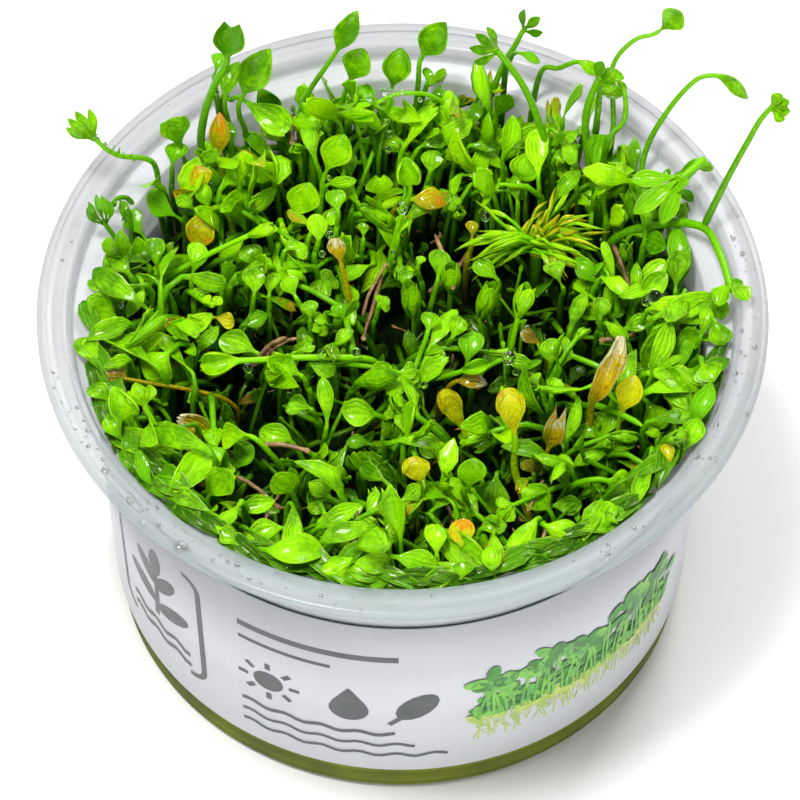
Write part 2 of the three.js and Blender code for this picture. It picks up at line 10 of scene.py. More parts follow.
import logging
import math
import random
from collections.abc import Callable, Sequence
from dataclasses import dataclass, field, replace
from enum import Enum
from functools import partial

import bmesh
import bpy
from mathutils import Matrix, Vector, noise

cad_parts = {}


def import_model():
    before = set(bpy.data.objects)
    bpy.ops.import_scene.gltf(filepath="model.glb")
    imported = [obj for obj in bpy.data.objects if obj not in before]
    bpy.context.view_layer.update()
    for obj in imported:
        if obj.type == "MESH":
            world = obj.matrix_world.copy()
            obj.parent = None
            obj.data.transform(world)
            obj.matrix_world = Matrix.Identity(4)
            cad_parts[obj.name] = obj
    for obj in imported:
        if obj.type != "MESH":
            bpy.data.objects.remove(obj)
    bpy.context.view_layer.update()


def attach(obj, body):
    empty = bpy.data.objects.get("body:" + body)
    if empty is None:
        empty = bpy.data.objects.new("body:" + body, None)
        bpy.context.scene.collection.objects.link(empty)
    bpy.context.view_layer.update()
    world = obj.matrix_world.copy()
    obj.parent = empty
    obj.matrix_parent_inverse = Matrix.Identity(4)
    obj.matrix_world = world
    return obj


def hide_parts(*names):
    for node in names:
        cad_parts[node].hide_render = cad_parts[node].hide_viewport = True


LOG = logging.getLogger("water_clover")
MM = 0.001
BODY = "root"
FULL_TURN = 2 * math.pi
TONE = "leaf_tone"
MERGE_DISTANCE = 0.002
WOBBLE_SEED = 12
WHITE = (1.0, 1.0, 1.0)
BLACK = (0.0, 0.0, 0.0)
UP = Vector((0.0, 0.0, 1.0))
Point = tuple[float, float, float]
Range = tuple[float, float]
Pixel = tuple[float, float]
Colour = tuple[float, float, float]


def smooth(share: float) -> float:
    """Eases a share from 0 to 1, and holds it outside."""
    held = min(max(share, 0.0), 1.0)
    return held * held * (3 - 2 * held)


def blend_between(start: float, end: float, share: float) -> float:
    """Returns the value at a share of the way from start to end."""
    return start + (end - start) * share


def level_way(turn: float) -> Vector:
    """Returns the level direction at a turn about the cup's axis."""
    return Vector((math.cos(turn), math.sin(turn), 0.0))


# Viewpoint


@dataclass(frozen=True)
class PhotoView:
    """The camera, and the way back from a point of its picture to a point of the cup, in millimetres."""

    focal_pixels: float = 6000.0
    picture_pixels: float = 800.0
    sensor_mm: float = 36.0
    distance: float = 795.41
    elevation: float = 55.06
    roll: float = 0.64
    target: Point = (-0.22, 0.0, 35.73)

    def axes(self) -> tuple[Vector, Vector, Vector]:
        """Returns the picture's right, its up, and the way back to the camera."""
        lift = math.radians(self.elevation)
        turn = math.radians(self.roll)
        level = Vector((1.0, 0.0, 0.0))
        rise = Vector((0.0, math.sin(lift), math.cos(lift)))
        back = Vector((0.0, -math.cos(lift), math.sin(lift)))
        right = math.cos(turn) * level + math.sin(turn) * rise
        up = math.cos(turn) * rise - math.sin(turn) * level
        return right, up, back

    def eye(self) -> Vector:
        """Returns the camera's place."""
        return Vector(self.target) + self.axes()[2] * self.distance

    def at_height(self, pixel: Pixel, height: float) -> Vector:
        """Finds the point that a pixel shows at a height.

        Args:
            pixel: Distance from the picture's left and top edges.
            height: Height above the table in millimetres.

        Returns:
            The point in millimetres.
        """
        right, up, back = self.axes()
        middle = self.picture_pixels / 2
        across = (pixel[0] - middle) / self.focal_pixels
        down = (pixel[1] - middle) / self.focal_pixels
        ray = right * across - up * down - back
        eye = self.eye()
        return eye + ray * ((height - eye.z) / ray.z)

    def pixel(self, point: Vector) -> Pixel:
        """Returns the pixel that shows a point."""
        right, up, back = self.axes()
        way = point - self.eye()
        scale = -self.focal_pixels / way.dot(back)
        middle = self.picture_pixels / 2
        return middle + way.dot(right) * scale, middle - way.dot(up) * scale

    def beside(self, start: Vector, first: Pixel, second: Pixel) -> Vector:
        """Moves a point flat in the picture's plane.

        Args:
            start: The point that shows at the first pixel.
            first: Pixel of the start.
            second: Pixel to move to.

        Returns:
            The moved point in millimetres.
        """
        right, up, back = self.axes()
        scale = (self.eye() - start).dot(back) / self.focal_pixels
        return start + (right * (second[0] - first[0]) - up * (second[1] - first[1])) * scale

    def add_camera(self) -> None:
        """Places the camera and makes it the scene's."""
        right, up, back = self.axes()
        data = bpy.data.cameras.new("camera")
        data.sensor_width = self.sensor_mm
        data.lens = self.focal_pixels / self.picture_pixels * self.sensor_mm
        data.clip_start = 0.05
        data.clip_end = 20.0
        camera = bpy.data.objects.new("camera", data)
        turn = Matrix((right, up, back)).transposed().to_4x4()
        camera.matrix_world = Matrix.Translation(self.eye() * MM) @ turn
        bpy.context.scene.collection.objects.link(camera)
        bpy.context.scene.camera = camera


VIEW = PhotoView()
TO_VIEWER = VIEW.axes()[2]


# Materials


class NodeSheet:
    """A short way to place and join the nodes of one node tree."""

    def __init__(self, tree: bpy.types.NodeTree) -> None:
        """Keeps the tree that nodes go in."""
        self.tree = tree

    def add(self, kind: str, inputs: dict | None = None, **settings: object) -> bpy.types.Node:
        """Adds a node.

        Args:
            kind: Blender's name of the node type.
            inputs: Socket name or number to a value, or to the socket that feeds it.
            settings: Properties of the node itself.

        Returns:
            The new node.
        """
        node = self.tree.nodes.new(kind)
        for name, value in settings.items():
            setattr(node, name, value)
        self.feed(node, inputs or {})
        return node

    def feed(self, node: bpy.types.Node, inputs: dict) -> None:
        """Sets the sockets of a node, each to a value or from the socket that feeds it."""
        for name, value in inputs.items():
            if isinstance(value, bpy.types.NodeSocket):
                self.tree.links.new(value, node.inputs[name])
            else:
                node.inputs[name].default_value = value

    def math(self, operation: str, first: object, second: object = 0.0) -> bpy.types.NodeSocket:
        """Returns the result of one sum on two values or sockets."""
        return self.add("ShaderNodeMath", {0: first, 1: second}, operation=operation).outputs[0]

    def plus(self, first: object, second: object) -> bpy.types.NodeSocket:
        """Returns the sum of two values."""
        return self.math("ADD", first, second)

    def minus(self, first: object, second: object) -> bpy.types.NodeSocket:
        """Returns the first value less the second."""
        return self.math("SUBTRACT", first, second)

    def times(self, first: object, second: object) -> bpy.types.NodeSocket:
        """Returns the product of two values."""
        return self.math("MULTIPLY", first, second)

    def span(self, value: object, low: float, high: float, start: float = 0.0,
             end: float = 1.0) -> bpy.types.NodeSocket:
        """Returns a value mapped from low..high to start..end, held at both ends."""
        inputs = {"Value": value, "From Min": low, "From Max": high, "To Min": start, "To Max": end}
        return self.add("ShaderNodeMapRange", inputs, interpolation_type="SMOOTHSTEP").outputs[0]

    def mix(self, share: object, first: object, second: object) -> bpy.types.NodeSocket:
        """Returns a colour mixed from two by a share."""
        inputs = {0: share, 6: first, 7: second}
        return self.add("ShaderNodeMix", inputs, data_type="RGBA", blend_type="MIX").outputs[2]

    def noise(self, place: object, scale: float, detail: float = 3.0,
              roughness: float = 0.55) -> bpy.types.NodeSocket:
        """Returns the grey value of a noise pattern at a place."""
        inputs = {"Vector": place, "Scale": scale, "Detail": detail, "Roughness": roughness}
        return self.add("ShaderNodeTexNoise", inputs).outputs[0]

    def bump(self, height: object, distance: float, strength: float = 1.0) -> bpy.types.NodeSocket:
        """Returns the normal of a relief."""
        inputs = {"Height": height, "Distance": distance, "Strength": strength}
        return self.add("ShaderNodeBump", inputs).outputs[0]

    def place(self) -> bpy.types.NodeSocket:
        """Returns the place on the object, in metres."""
        return self.add("ShaderNodeTexCoord").outputs["Object"]


def new_material(name: str) -> tuple[bpy.types.Material, NodeSheet, bpy.types.Node]:
    """Starts a node material and returns it with its sheet and its principled shader."""
    material = bpy.data.materials.new(name)
    material.use_nodes = True
    return material, NodeSheet(material.node_tree), material.node_tree.nodes["Principled BSDF"]


def opaque(colour: Colour) -> tuple[float, float, float, float]:
    """Returns a colour with full alpha."""
    return (*colour, 1.0)


class LeafSurface:
    """The node group that all leaf finishes share: tone, ribs, rims lightened by painted rim light, pale tips
    that are partly a painted sheen, aged patches, painted shade that darkens leaves the lower they stand, and
    fine relief.
    """

    name = "leaf_surface"
    rib_turns = 13.0
    cell_scale = 1500.0
    patch_scale = 300.0
    groove_place = 0.74
    groove_width = 0.07
    # Painted shade: the heights in metres over which leaves darken, and the darkest share they keep at the
    # bottom.
    painted_shade_bottom = 0.0405
    painted_shade_top = 0.0515
    painted_shade_darkest = 0.22
    middle = (0.3, 0.7)
    ring_centre = 0.58
    groove_depth = 0.14
    # Range of the pale tips, which are partly a dry papery tone and partly a painted sheen.
    papery_sheen_from = 1.65
    papery_sheen_to = 1.9
    worn_from = 1.05
    worn_to = 1.3

    def __init__(self) -> None:
        """Builds the group once."""
        tree = bpy.data.node_groups.new(self.name, "ShaderNodeTree")
        for label in ("Deep", "Bright", "Rim", "Aged", "Stalk"):
            tree.interface.new_socket(label, in_out="INPUT", socket_type="NodeSocketColor")
        for label in ("Ribs", "Ageing", "Pale"):
            tree.interface.new_socket(label, in_out="INPUT", socket_type="NodeSocketFloat")
        tree.interface.new_socket("Color", in_out="OUTPUT", socket_type="NodeSocketColor")
        tree.interface.new_socket("Roughness", in_out="OUTPUT", socket_type="NodeSocketFloat")
        tree.interface.new_socket("Height", in_out="OUTPUT", socket_type="NodeSocketFloat")
        self.tree = tree
        self._fill(NodeSheet(tree))

    def _groove(self, sheet: NodeSheet, head: object, margin: object) -> bpy.types.NodeSocket:
        """Returns the fine groove that runs inside the leaf's rim, from 0 to 1."""
        along = sheet.math("DIVIDE", sheet.minus(head, self.ring_centre), 1 - self.ring_centre)
        square = sheet.plus(sheet.times(along, along), sheet.times(margin, margin))
        away = sheet.math("ABSOLUTE", sheet.minus(sheet.math("SQRT", square), self.groove_place))
        return sheet.span(away, 0.0, self.groove_width, 1.0, 0.0)

    def _fill(self, sheet: NodeSheet) -> None:
        """Joins the group's nodes."""
        given = sheet.add("NodeGroupInput").outputs
        place = sheet.place()
        tone = sheet.add("ShaderNodeAttribute", attribute_name=TONE)
        parts = sheet.add("ShaderNodeSeparateColor", {0: tone.outputs["Color"]}).outputs
        shade, head, margin = parts[0], parts[1], parts[2]
        decay = tone.outputs["Alpha"]
        uv = sheet.add("ShaderNodeUVMap", uv_map="UVMap").outputs[0]
        shares = sheet.add("ShaderNodeSeparateXYZ", {0: uv}).outputs
        patch = sheet.noise(place, self.patch_scale, 2.0)
        cells = sheet.noise(place, self.cell_scale, 4.0, 0.6)
        in_blade = sheet.span(head, 0.05, 0.3)
        groove = sheet.times(self._groove(sheet, head, margin), in_blade)
        bent = sheet.plus(shares[0], sheet.span(patch, *self.middle, -0.035, 0.035))
        wave = sheet.math("SINE", sheet.times(bent, self.rib_turns * FULL_TURN))
        ribs = sheet.times(sheet.times(wave, in_blade), given["Ribs"])
        vary = sheet.plus(shade, sheet.span(patch, *self.middle, -0.3, 0.3))
        vary = sheet.plus(vary, sheet.span(cells, *self.middle, -0.14, 0.14))
        vary = sheet.plus(vary, sheet.times(ribs, 0.05))
        vary = sheet.minus(vary, sheet.times(groove, self.groove_depth))
        body = sheet.mix(sheet.span(vary, 0.0, 1.0), given["Deep"], given["Bright"])
        # Painted rim light: the margins are mixed towards the lighter Rim colour, as if lit through from
        # behind.
        edge = sheet.times(sheet.span(margin, 0.8, 1.0), in_blade)
        # Pale tips, where Pale is set: partly a dry papery tone and partly a painted sheen, spreading in
        # patches from the tip.
        grain = sheet.plus(head, sheet.plus(patch, cells))
        papery_and_sheen = sheet.times(sheet.span(grain, self.papery_sheen_from, self.papery_sheen_to), given["Pale"])
        edge = sheet.math("MAXIMUM", sheet.times(edge, 0.3), papery_and_sheen)
        rim_light_and_sheen = sheet.mix(edge, body, given["Rim"])
        spots = sheet.noise(place, self.patch_scale * 2.3, 4.0, 0.7)
        from_tip = sheet.plus(sheet.times(head, 0.35), spots)
        reach = sheet.plus(decay, given["Ageing"])
        worn = sheet.span(sheet.plus(from_tip, reach), self.worn_from, self.worn_to)
        aged = sheet.mix(worn, rim_light_and_sheen, given["Aged"])
        rising = sheet.span(sheet.plus(shares[1], sheet.span(cells, *self.middle, -0.1, 0.1)), 0.1, 0.65)
        rising = sheet.times(rising, sheet.span(shade, 0.0, 0.6, 0.35, 1.0))
        stalk = sheet.mix(rising, given["Deep"], given["Stalk"])
        coloured = sheet.mix(sheet.span(head, 0.02, 0.28), stalk, aged)
        # Painted shade: the lower a leaf stands in the cushion, the more its colour is mixed towards black,
        # in place of the shade under the leaves above.
        above = sheet.add("ShaderNodeSeparateXYZ", {0: place}).outputs[2]
        painted_depth_shade = sheet.span(above, self.painted_shade_bottom, self.painted_shade_top, self.painted_shade_darkest, 1.0)
        coloured = sheet.mix(painted_depth_shade, opaque(BLACK), coloured)
        rough = sheet.span(cells, 0.3, 0.75, 0.24, 0.48)
        relief = sheet.plus(sheet.times(ribs, 0.3), sheet.times(cells, 1.1))
        height = sheet.minus(relief, sheet.times(groove, 0.35))
        sheet.add("NodeGroupOutput", {"Color": coloured, "Roughness": rough, "Height": height})


@dataclass(frozen=True)
class LeafFinish:
    """One leaf finish: its colours, how deep its ribs are and how far it has aged."""

    name: str
    deep: Colour
    bright: Colour
    # Lighter colour of the painted rim light on the margins and of the pale tips.
    rim: Colour
    aged: Colour = (0.42, 0.26, 0.01)
    stalk: Colour = (0.160, 0.510, 0.001)
    ribs: float = 0.6
    ageing: float = 0.0
    relief: float = 0.00026
    glow: float = 0.2
    coat: float = 0.2
    # Share of the pale tip, partly a dry papery tone and partly a painted sheen.
    pale: float = 0.0

    def build(self, surface: LeafSurface) -> bpy.types.Material:
        """Builds the material.

        Args:
            surface: The shared leaf group.

        Returns:
            The material.
        """
        material, sheet, shader = new_material(self.name)
        group = sheet.add("ShaderNodeGroup", {
            "Deep": opaque(self.deep),
            "Bright": opaque(self.bright),
            "Rim": opaque(self.rim),
            "Aged": opaque(self.aged),
            "Stalk": opaque(self.stalk),
            "Ribs": self.ribs,
            "Ageing": self.ageing,
            "Pale": self.pale,
        }, node_tree=surface.tree)
        sheet.feed(shader, {
            "Base Color": group.outputs["Color"],
            "Roughness": group.outputs["Roughness"],
            "Normal": sheet.bump(group.outputs["Height"], self.relief, 0.6),
            "Subsurface Weight": self.glow,
            "Subsurface Radius": (0.5, 1.0, 0.02),
            "Subsurface Scale": 0.0006,
            "Specular Tint": (0.85, 1.0, 0.15, 1.0),
            "Coat Weight": self.coat,
            "Coat Roughness": 0.07,
            "IOR": 1.4,
        })
        return material


class Tint(Enum):
    """Leaf colours, by the names of their materials."""

    GREEN = "leaf_green"
    DEEP = "leaf_deep_green"
    LIME = "leaf_yellow_green"
    YELLOW = "leaf_yellow"
    TAN = "leaf_tan"


LEAF_FINISHES = {
    Tint.GREEN: LeafFinish(
        "leaf_green", (0.060, 0.235, 0.001), (0.240, 0.610, 0.001), (0.36, 0.72, 0.01)),
    Tint.DEEP: LeafFinish(
        "leaf_deep_green", (0.022, 0.115, 0.001), (0.120, 0.420, 0.001), (0.23, 0.58, 0.002),
        stalk=(0.085, 0.340, 0.001)),
    Tint.LIME: LeafFinish(
        "leaf_yellow_green", (0.140, 0.450, 0.001), (0.350, 0.740, 0.002), (0.48, 0.80, 0.02),
        stalk=(0.230, 0.640, 0.002)),
    Tint.YELLOW: LeafFinish(
        "leaf_yellow", (0.320, 0.310, 0.001), (0.600, 0.600, 0.004), (0.76, 0.66, 0.03),
        aged=(0.60, 0.25, 0.004), stalk=(0.220, 0.500, 0.002), ribs=0.45, ageing=0.23, coat=0.5,
        relief=0.0004),
    Tint.TAN: LeafFinish(
        "leaf_tan", (0.340, 0.220, 0.001), (0.570, 0.410, 0.004), (0.60, 0.58, 0.34),
        aged=(0.56, 0.25, 0.004), stalk=(0.380, 0.330, 0.003), ribs=1.0, ageing=0.2, coat=0.8,
        pale=0.9, relief=0.0007),
}


@dataclass(frozen=True)
class StemFinish:
    """Finish of dead stems, old roots and the mat under the leaves, which is coloured near black as painted
    shade.
    """

    name: str
    deep: Colour
    bright: Colour
    roughness: float = 0.5
    scale: float = 900.0
    relief: float = 0.0004
    wetness: float = 0.2
    shine: float = 0.5

    def build(self) -> bpy.types.Material:
        """Builds the material and returns it."""
        material, sheet, shader = new_material(self.name)
        place = sheet.place()
        grain = sheet.noise(place, self.scale, 5.0, 0.65)
        broad = sheet.noise(place, self.scale / 5, 2.0)
        share = sheet.span(sheet.plus(grain, broad), 0.75, 1.25)
        colour = sheet.mix(share, opaque(self.deep), opaque(self.bright))
        sheet.feed(shader, {
            "Base Color": colour,
            "Roughness": sheet.span(grain, 0.3, 0.7, self.roughness - 0.15, self.roughness + 0.15),
            "Normal": sheet.bump(grain, self.relief),
            "Coat Weight": self.wetness,
            "Coat Roughness": 0.15,
            "Specular IOR Level": self.shine,
        })
        return material


@dataclass(frozen=True)
class WaterFinish:
    """Finish of clear water."""

    name: str = "water"
    ior: float = 1.33
    roughness: float = 0.02

    def build(self) -> bpy.types.Material:
        """Builds the material and returns it."""
        material, sheet, shader = new_material(self.name)
        sheet.feed(shader, {
            "Base Color": opaque(WHITE),
            "Transmission Weight": 1.0,
            "IOR": self.ior,
            "Roughness": self.roughness,
        })
        return material


@dataclass(frozen=True)
class FrostedFinish:
    """Finish of the cup's thin moulded plastic: milky above, and as olive as the gel that touches it, with
    painted light on its front and on the bare wall under the flange.
    """

    name: str = "clear_plastic"
    light: Colour = (0.36, 0.365, 0.38)
    dark: Colour = (0.32, 0.325, 0.34)
    # Colour of the painted light on the front, toward the camera, standing in for the light and leaves seen
    # through the flange.
    front: Colour = (0.36, 0.43, 0.42)
    # Colour of the painted light on the bare wall between the label's top and the flange's foot.
    wall: Colour = (0.66, 0.67, 0.70)
    gel_light: Colour = (0.180, 0.210, 0.008)
    gel_deep: Colour = (0.070, 0.090, 0.001)
    by_gel: float = 0.86
    milky: float = 0.54
    # Cover of the painted light band under the flange.
    shoulder: float = 0.72
    gel_height: float = 0.0095
    cloud_scale: float = 110.0
    ring_scale: float = 900.0
    label_top: float = 0.0415
    flange_foot: float = 0.0535
    front_edge: float = -0.046

    def build(self) -> bpy.types.Material:
        """Builds the material and returns it."""
        material, sheet, shader = new_material(self.name)
        place = sheet.place()
        across, near, height = sheet.add("ShaderNodeSeparateXYZ", {0: place}).outputs
        squares = sheet.plus(sheet.times(across, across), sheet.times(near, near))
        section = sheet.add("ShaderNodeCombineXYZ", {0: sheet.math("SQRT", squares), 1: height}).outputs[0]
        rings = sheet.noise(section, self.ring_scale, 2.0)
        cloud = sheet.noise(place, self.cloud_scale, 2.0)
        share = sheet.span(sheet.plus(rings, cloud), 0.7, 1.3)
        plain = sheet.mix(share, opaque(self.dark), opaque(self.light))
        # Painted light: the front of the flange, toward the camera, is coloured lighter and greener than the
        # rest.
        plain = sheet.mix(sheet.span(near, self.front_edge, 0.0, 0.85, 0.0), plain, opaque(self.front))
        # Painted light: the bare wall between the label's top and the flange's foot is coloured lighter and
        # covers more, in place of the shadow that the flange casts there.
        rising = sheet.span(height, self.label_top, self.label_top + 0.002)
        falling = sheet.span(height, self.flange_foot, self.flange_foot + 0.0015, 1.0, 0.0)
        under = sheet.times(rising, falling)
        plain = sheet.mix(under, plain, opaque(self.wall))
        olive = sheet.mix(share, opaque(self.gel_deep), opaque(self.gel_light))
        above = sheet.span(height, self.gel_height * 0.9, self.gel_height * 1.1)
        cover = sheet.plus(sheet.times(above, self.milky - self.by_gel), self.by_gel)
        cover = sheet.plus(cover, sheet.times(under, self.shoulder - self.milky))
        cover = sheet.plus(cover, sheet.span(rings, 0.3, 0.7, -0.06, 0.06))
        rough = sheet.span(cloud, 0.3, 0.7, 0.25, 0.4)
        rough = sheet.plus(rough, sheet.span(height, 0.008, self.gel_height, 0.5, 0.0))
        sheet.feed(shader, {
            "Base Color": sheet.mix(above, olive, plain),
            "Alpha": cover,
            "Roughness": rough,
            "Coat Weight": sheet.times(above, 0.12),
            "Normal": sheet.bump(rings, 0.0001, 0.25),
            "Coat Roughness": 0.1,
            "IOR": 1.49,
            "Specular IOR Level": 0.32,
        })
        return material


@dataclass(frozen=True)
class PaperFinish:
    """Finish of the label film: cool white with a faint grain."""

    name: str = "label_film"
    light: Colour = (0.52, 0.53, 0.555)
    dark: Colour = (0.50, 0.51, 0.54)

    def build(self) -> bpy.types.Material:
        """Builds the material and returns it."""
        material, sheet, shader = new_material(self.name)
        place = sheet.place()
        cloud = sheet.noise(place, 60.0, 2.0)
        grain = sheet.noise(place, 2500.0, 2.0)
        share = sheet.plus(sheet.times(cloud, 0.7), sheet.times(grain, 0.3))
        colour = sheet.mix(sheet.span(share, 0.3, 0.7), opaque(self.dark), opaque(self.light))
        sheet.feed(shader, {
            "Base Color": colour,
            "Roughness": sheet.span(grain, 0.3, 0.7, 0.38, 0.5),
            "Normal": sheet.bump(grain, 0.00003, 0.4),
        })
        return material


@dataclass(frozen=True)
class InkFinish:
    """Finish of one printed ink, slightly uneven as a print is."""

    name: str
    colour: Colour
    second: Colour

    def build(self) -> bpy.types.Material:
        """Builds the material and returns it."""
        material, sheet, shader = new_material(self.name)
        place = sheet.place()
        cloud = sheet.noise(place, 420.0, 3.0)
        colour = sheet.mix(sheet.span(cloud, 0.35, 0.65), opaque(self.colour), opaque(self.second))
        rough = sheet.span(cloud, 0.3, 0.7, 0.35, 0.5)
        sheet.feed(shader, {"Base Color": colour, "Roughness": rough})
        return material


@dataclass(frozen=True)
class GelFinish:
    """Finish of the nutrient gel: olive, cloudy, with darker and lighter blotches."""

    name: str = "nutrient_gel"
    deep: Colour = (0.140, 0.160, 0.006)
    light: Colour = (0.380, 0.420, 0.040)

    def build(self) -> bpy.types.Material:
        """Builds the material and returns it."""
        material, sheet, shader = new_material(self.name)
        place = sheet.place()
        blotch = sheet.noise(place, 45.0, 2.0)
        fine = sheet.noise(place, 260.0, 3.0)
        mixed = sheet.plus(blotch, sheet.times(fine, 0.35))
        colour = sheet.mix(sheet.span(mixed, 0.5, 0.85), opaque(self.deep), opaque(self.light))
        sheet.feed(shader, {
            "Base Color": colour,
            "Roughness": sheet.span(fine, 0.3, 0.7, 0.15, 0.32),
            "Normal": sheet.bump(fine, 0.0003, 0.4),
            "Subsurface Weight": 0.3,
            "Subsurface Radius": (1.0, 1.0, 0.3),
            "Subsurface Scale": 0.002,
        })
        return material


# Meshes


def finish_piece(
    name: str,
    mesh: bmesh.types.BMesh,
    materials: Sequence[bpy.types.Material],
    replaced: Sequence[str] = (),
    levels: int = 0,
) -> bpy.types.Object:
    """Writes a mesh of millimetres to Blender as one smooth piece that rides on the cup's body.

    Args:
        name: Name of the piece.
        mesh: The mesh, which is freed.
        materials: Its materials in the order of their face numbers.
        replaced: CAD nodes that the piece stands for.
        levels: Levels of subdivision.

    Returns:
        The object.
    """
    bmesh.ops.scale(mesh, vec=(MM, MM, MM), verts=mesh.verts)
    for face in mesh.faces:
        face.smooth = True
    data = bpy.data.meshes.new(name)
    mesh.to_mesh(data)
    mesh.free()
    for material in materials:
        data.materials.append(material)
    piece = bpy.data.objects.new(name, data)
    bpy.context.scene.collection.objects.link(piece)
    if levels:
        rounding = piece.modifiers.new("rounding", "SUBSURF")
        rounding.levels = levels
        rounding.render_levels = levels
    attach(piece, BODY)
    if replaced:
        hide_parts(*replaced)
    LOG.info("%s: %d faces, level %d", name, len(data.polygons), levels)
    return piece


def turned_mesh(outline: Sequence[Pixel], segments: int, closed: bool = True) -> bmesh.types.BMesh:
    """Turns an outline about the cup's axis.

    Args:
        outline: Radius and height of each corner, in order.
        segments: Segments of the full turn.
        closed: Joins the last corner to the first.

    Returns:
        The turned mesh in millimetres, with its faces out.
    """
    mesh = bmesh.new()
    corners = [mesh.verts.new((radius, 0.0, height)) for radius, height in outline]
    pairs = list(zip(corners, corners[1:]))
    if closed:
        pairs.append((corners[-1], corners[0]))
    for first, second in pairs:
        mesh.edges.new((first, second))
    bmesh.ops.spin(
        mesh, geom=mesh.verts[:] + mesh.edges[:], cent=(0, 0, 0), axis=(0, 0, 1), dvec=(0, 0, 0),
        angle=FULL_TURN, steps=segments, use_merge=True)
    bmesh.ops.remove_doubles(mesh, verts=mesh.verts, dist=MERGE_DISTANCE)
    bmesh.ops.recalc_face_normals(mesh, faces=mesh.faces)
    return mesh


class Route:
    """A smooth way through points, which runs on in a straight line at both ends."""

    def __init__(self, points: Sequence[Vector]) -> None:
        """Keeps the points with one more at each end."""
        first = points[0] * 2 - points[1]
        last = points[-1] * 2 - points[-2]
        self.points = [first, *points, last]
        self.spans = len(points) - 1

    def _span(self, share: float) -> tuple[int, float]:
        """Returns the span that a share of the way is in, and how far along that span it is."""
        reach = min(max(share, 0.0), 1.0) * self.spans
        number = min(int(reach), self.spans - 1)
        return number, reach - number

    def at(self, share: float) -> Vector:
        """Returns the point at a share of the way."""
        number, step = self._span(share)
        before, start, end, after = self.points[number:number + 4]
        leave = (end - before) * 0.5
        arrive = (after - start) * 0.5
        square, cube = step * step, step * step * step
        return (start * (2 * cube - 3 * square + 1) + leave * (cube - 2 * square + step)
                + end * (3 * square - 2 * cube) + arrive * (cube - square))

    def heading(self, share: float) -> Vector:
        """Returns the direction at a share of the way."""
        step = 0.004
        return (self.at(share + step) - self.at(share - step)).normalized()


@dataclass(frozen=True)
class Blade:
    """Form of one blade.

    A high base or tip power draws that end out thin, and a low one keeps it round. The margins roll
    towards the face by `rolled` radians. Thickness is half the blade's own, in millimetres. Arch,
    sweep, notch and teeth are shares of the blade's length, ruffle of its half width, twist in radians.
    Blunt is the share of its width that a blade keeps at its end.
    """

    widest: float = 0.66
    base: float = 1.0
    tip: float = 0.55
    thickness: float = 0.15
    rolled: float = 0.7
    fold: float = 0.0
    arch: float = 0.0
    sweep: float = 0.0
    twist: float = 0.0
    notch: float = 0.0
    ruffle: float = 0.0
    waves: float = 3.0
    teeth: float = 0.0
    blunt: float = 0.0

    def half_width(self, share: float) -> float:
        """Returns the half width at a share of the length, from 0 at the base to 1 where it is widest."""
        warped = share ** (math.log(0.5) / math.log(self.widest))
        power = self.base if share < self.widest else self.tip
        width = max(math.sin(math.pi * min(warped, 1.0)), 0.0) ** power
        return width if share < self.widest else max(width, self.blunt)

    def varied(self, chance: random.Random, amount: float = 1.0) -> Blade:
        """Returns a blade of the same kind with its own roll, bend and twist.

        Args:
            chance: Source of chance.
            amount: Share of the full variation.

        Returns:
            The varied blade.
        """
        return replace(
            self,
            widest=min(max(self.widest + chance.uniform(-0.07, 0.07) * amount, 0.3), 0.85),
            rolled=self.rolled * (1 + chance.uniform(-0.5, 0.45) * amount),
            arch=self.arch + chance.uniform(-0.1, 0.12) * amount,
            sweep=self.sweep + chance.uniform(-0.22, 0.22) * amount,
            twist=self.twist + chance.uniform(-0.8, 0.8) * amount,
            ruffle=self.ruffle + chance.uniform(0.0, 0.1) * amount,
            waves=self.waves * chance.uniform(0.7, 1.4))


@dataclass(frozen=True)
class Growth:
    """How one stalk with one blade is woven: sizes, tone and how finely it is divided."""

    stalk: float
    width: float
    blade: Blade
    facing: Vector
    shade: float = 0.6
    decay: float = 0.0
    neck: float = 0.7
    sides: int = 8
    stalk_rings: int = 6
    blade_rings: int = 8


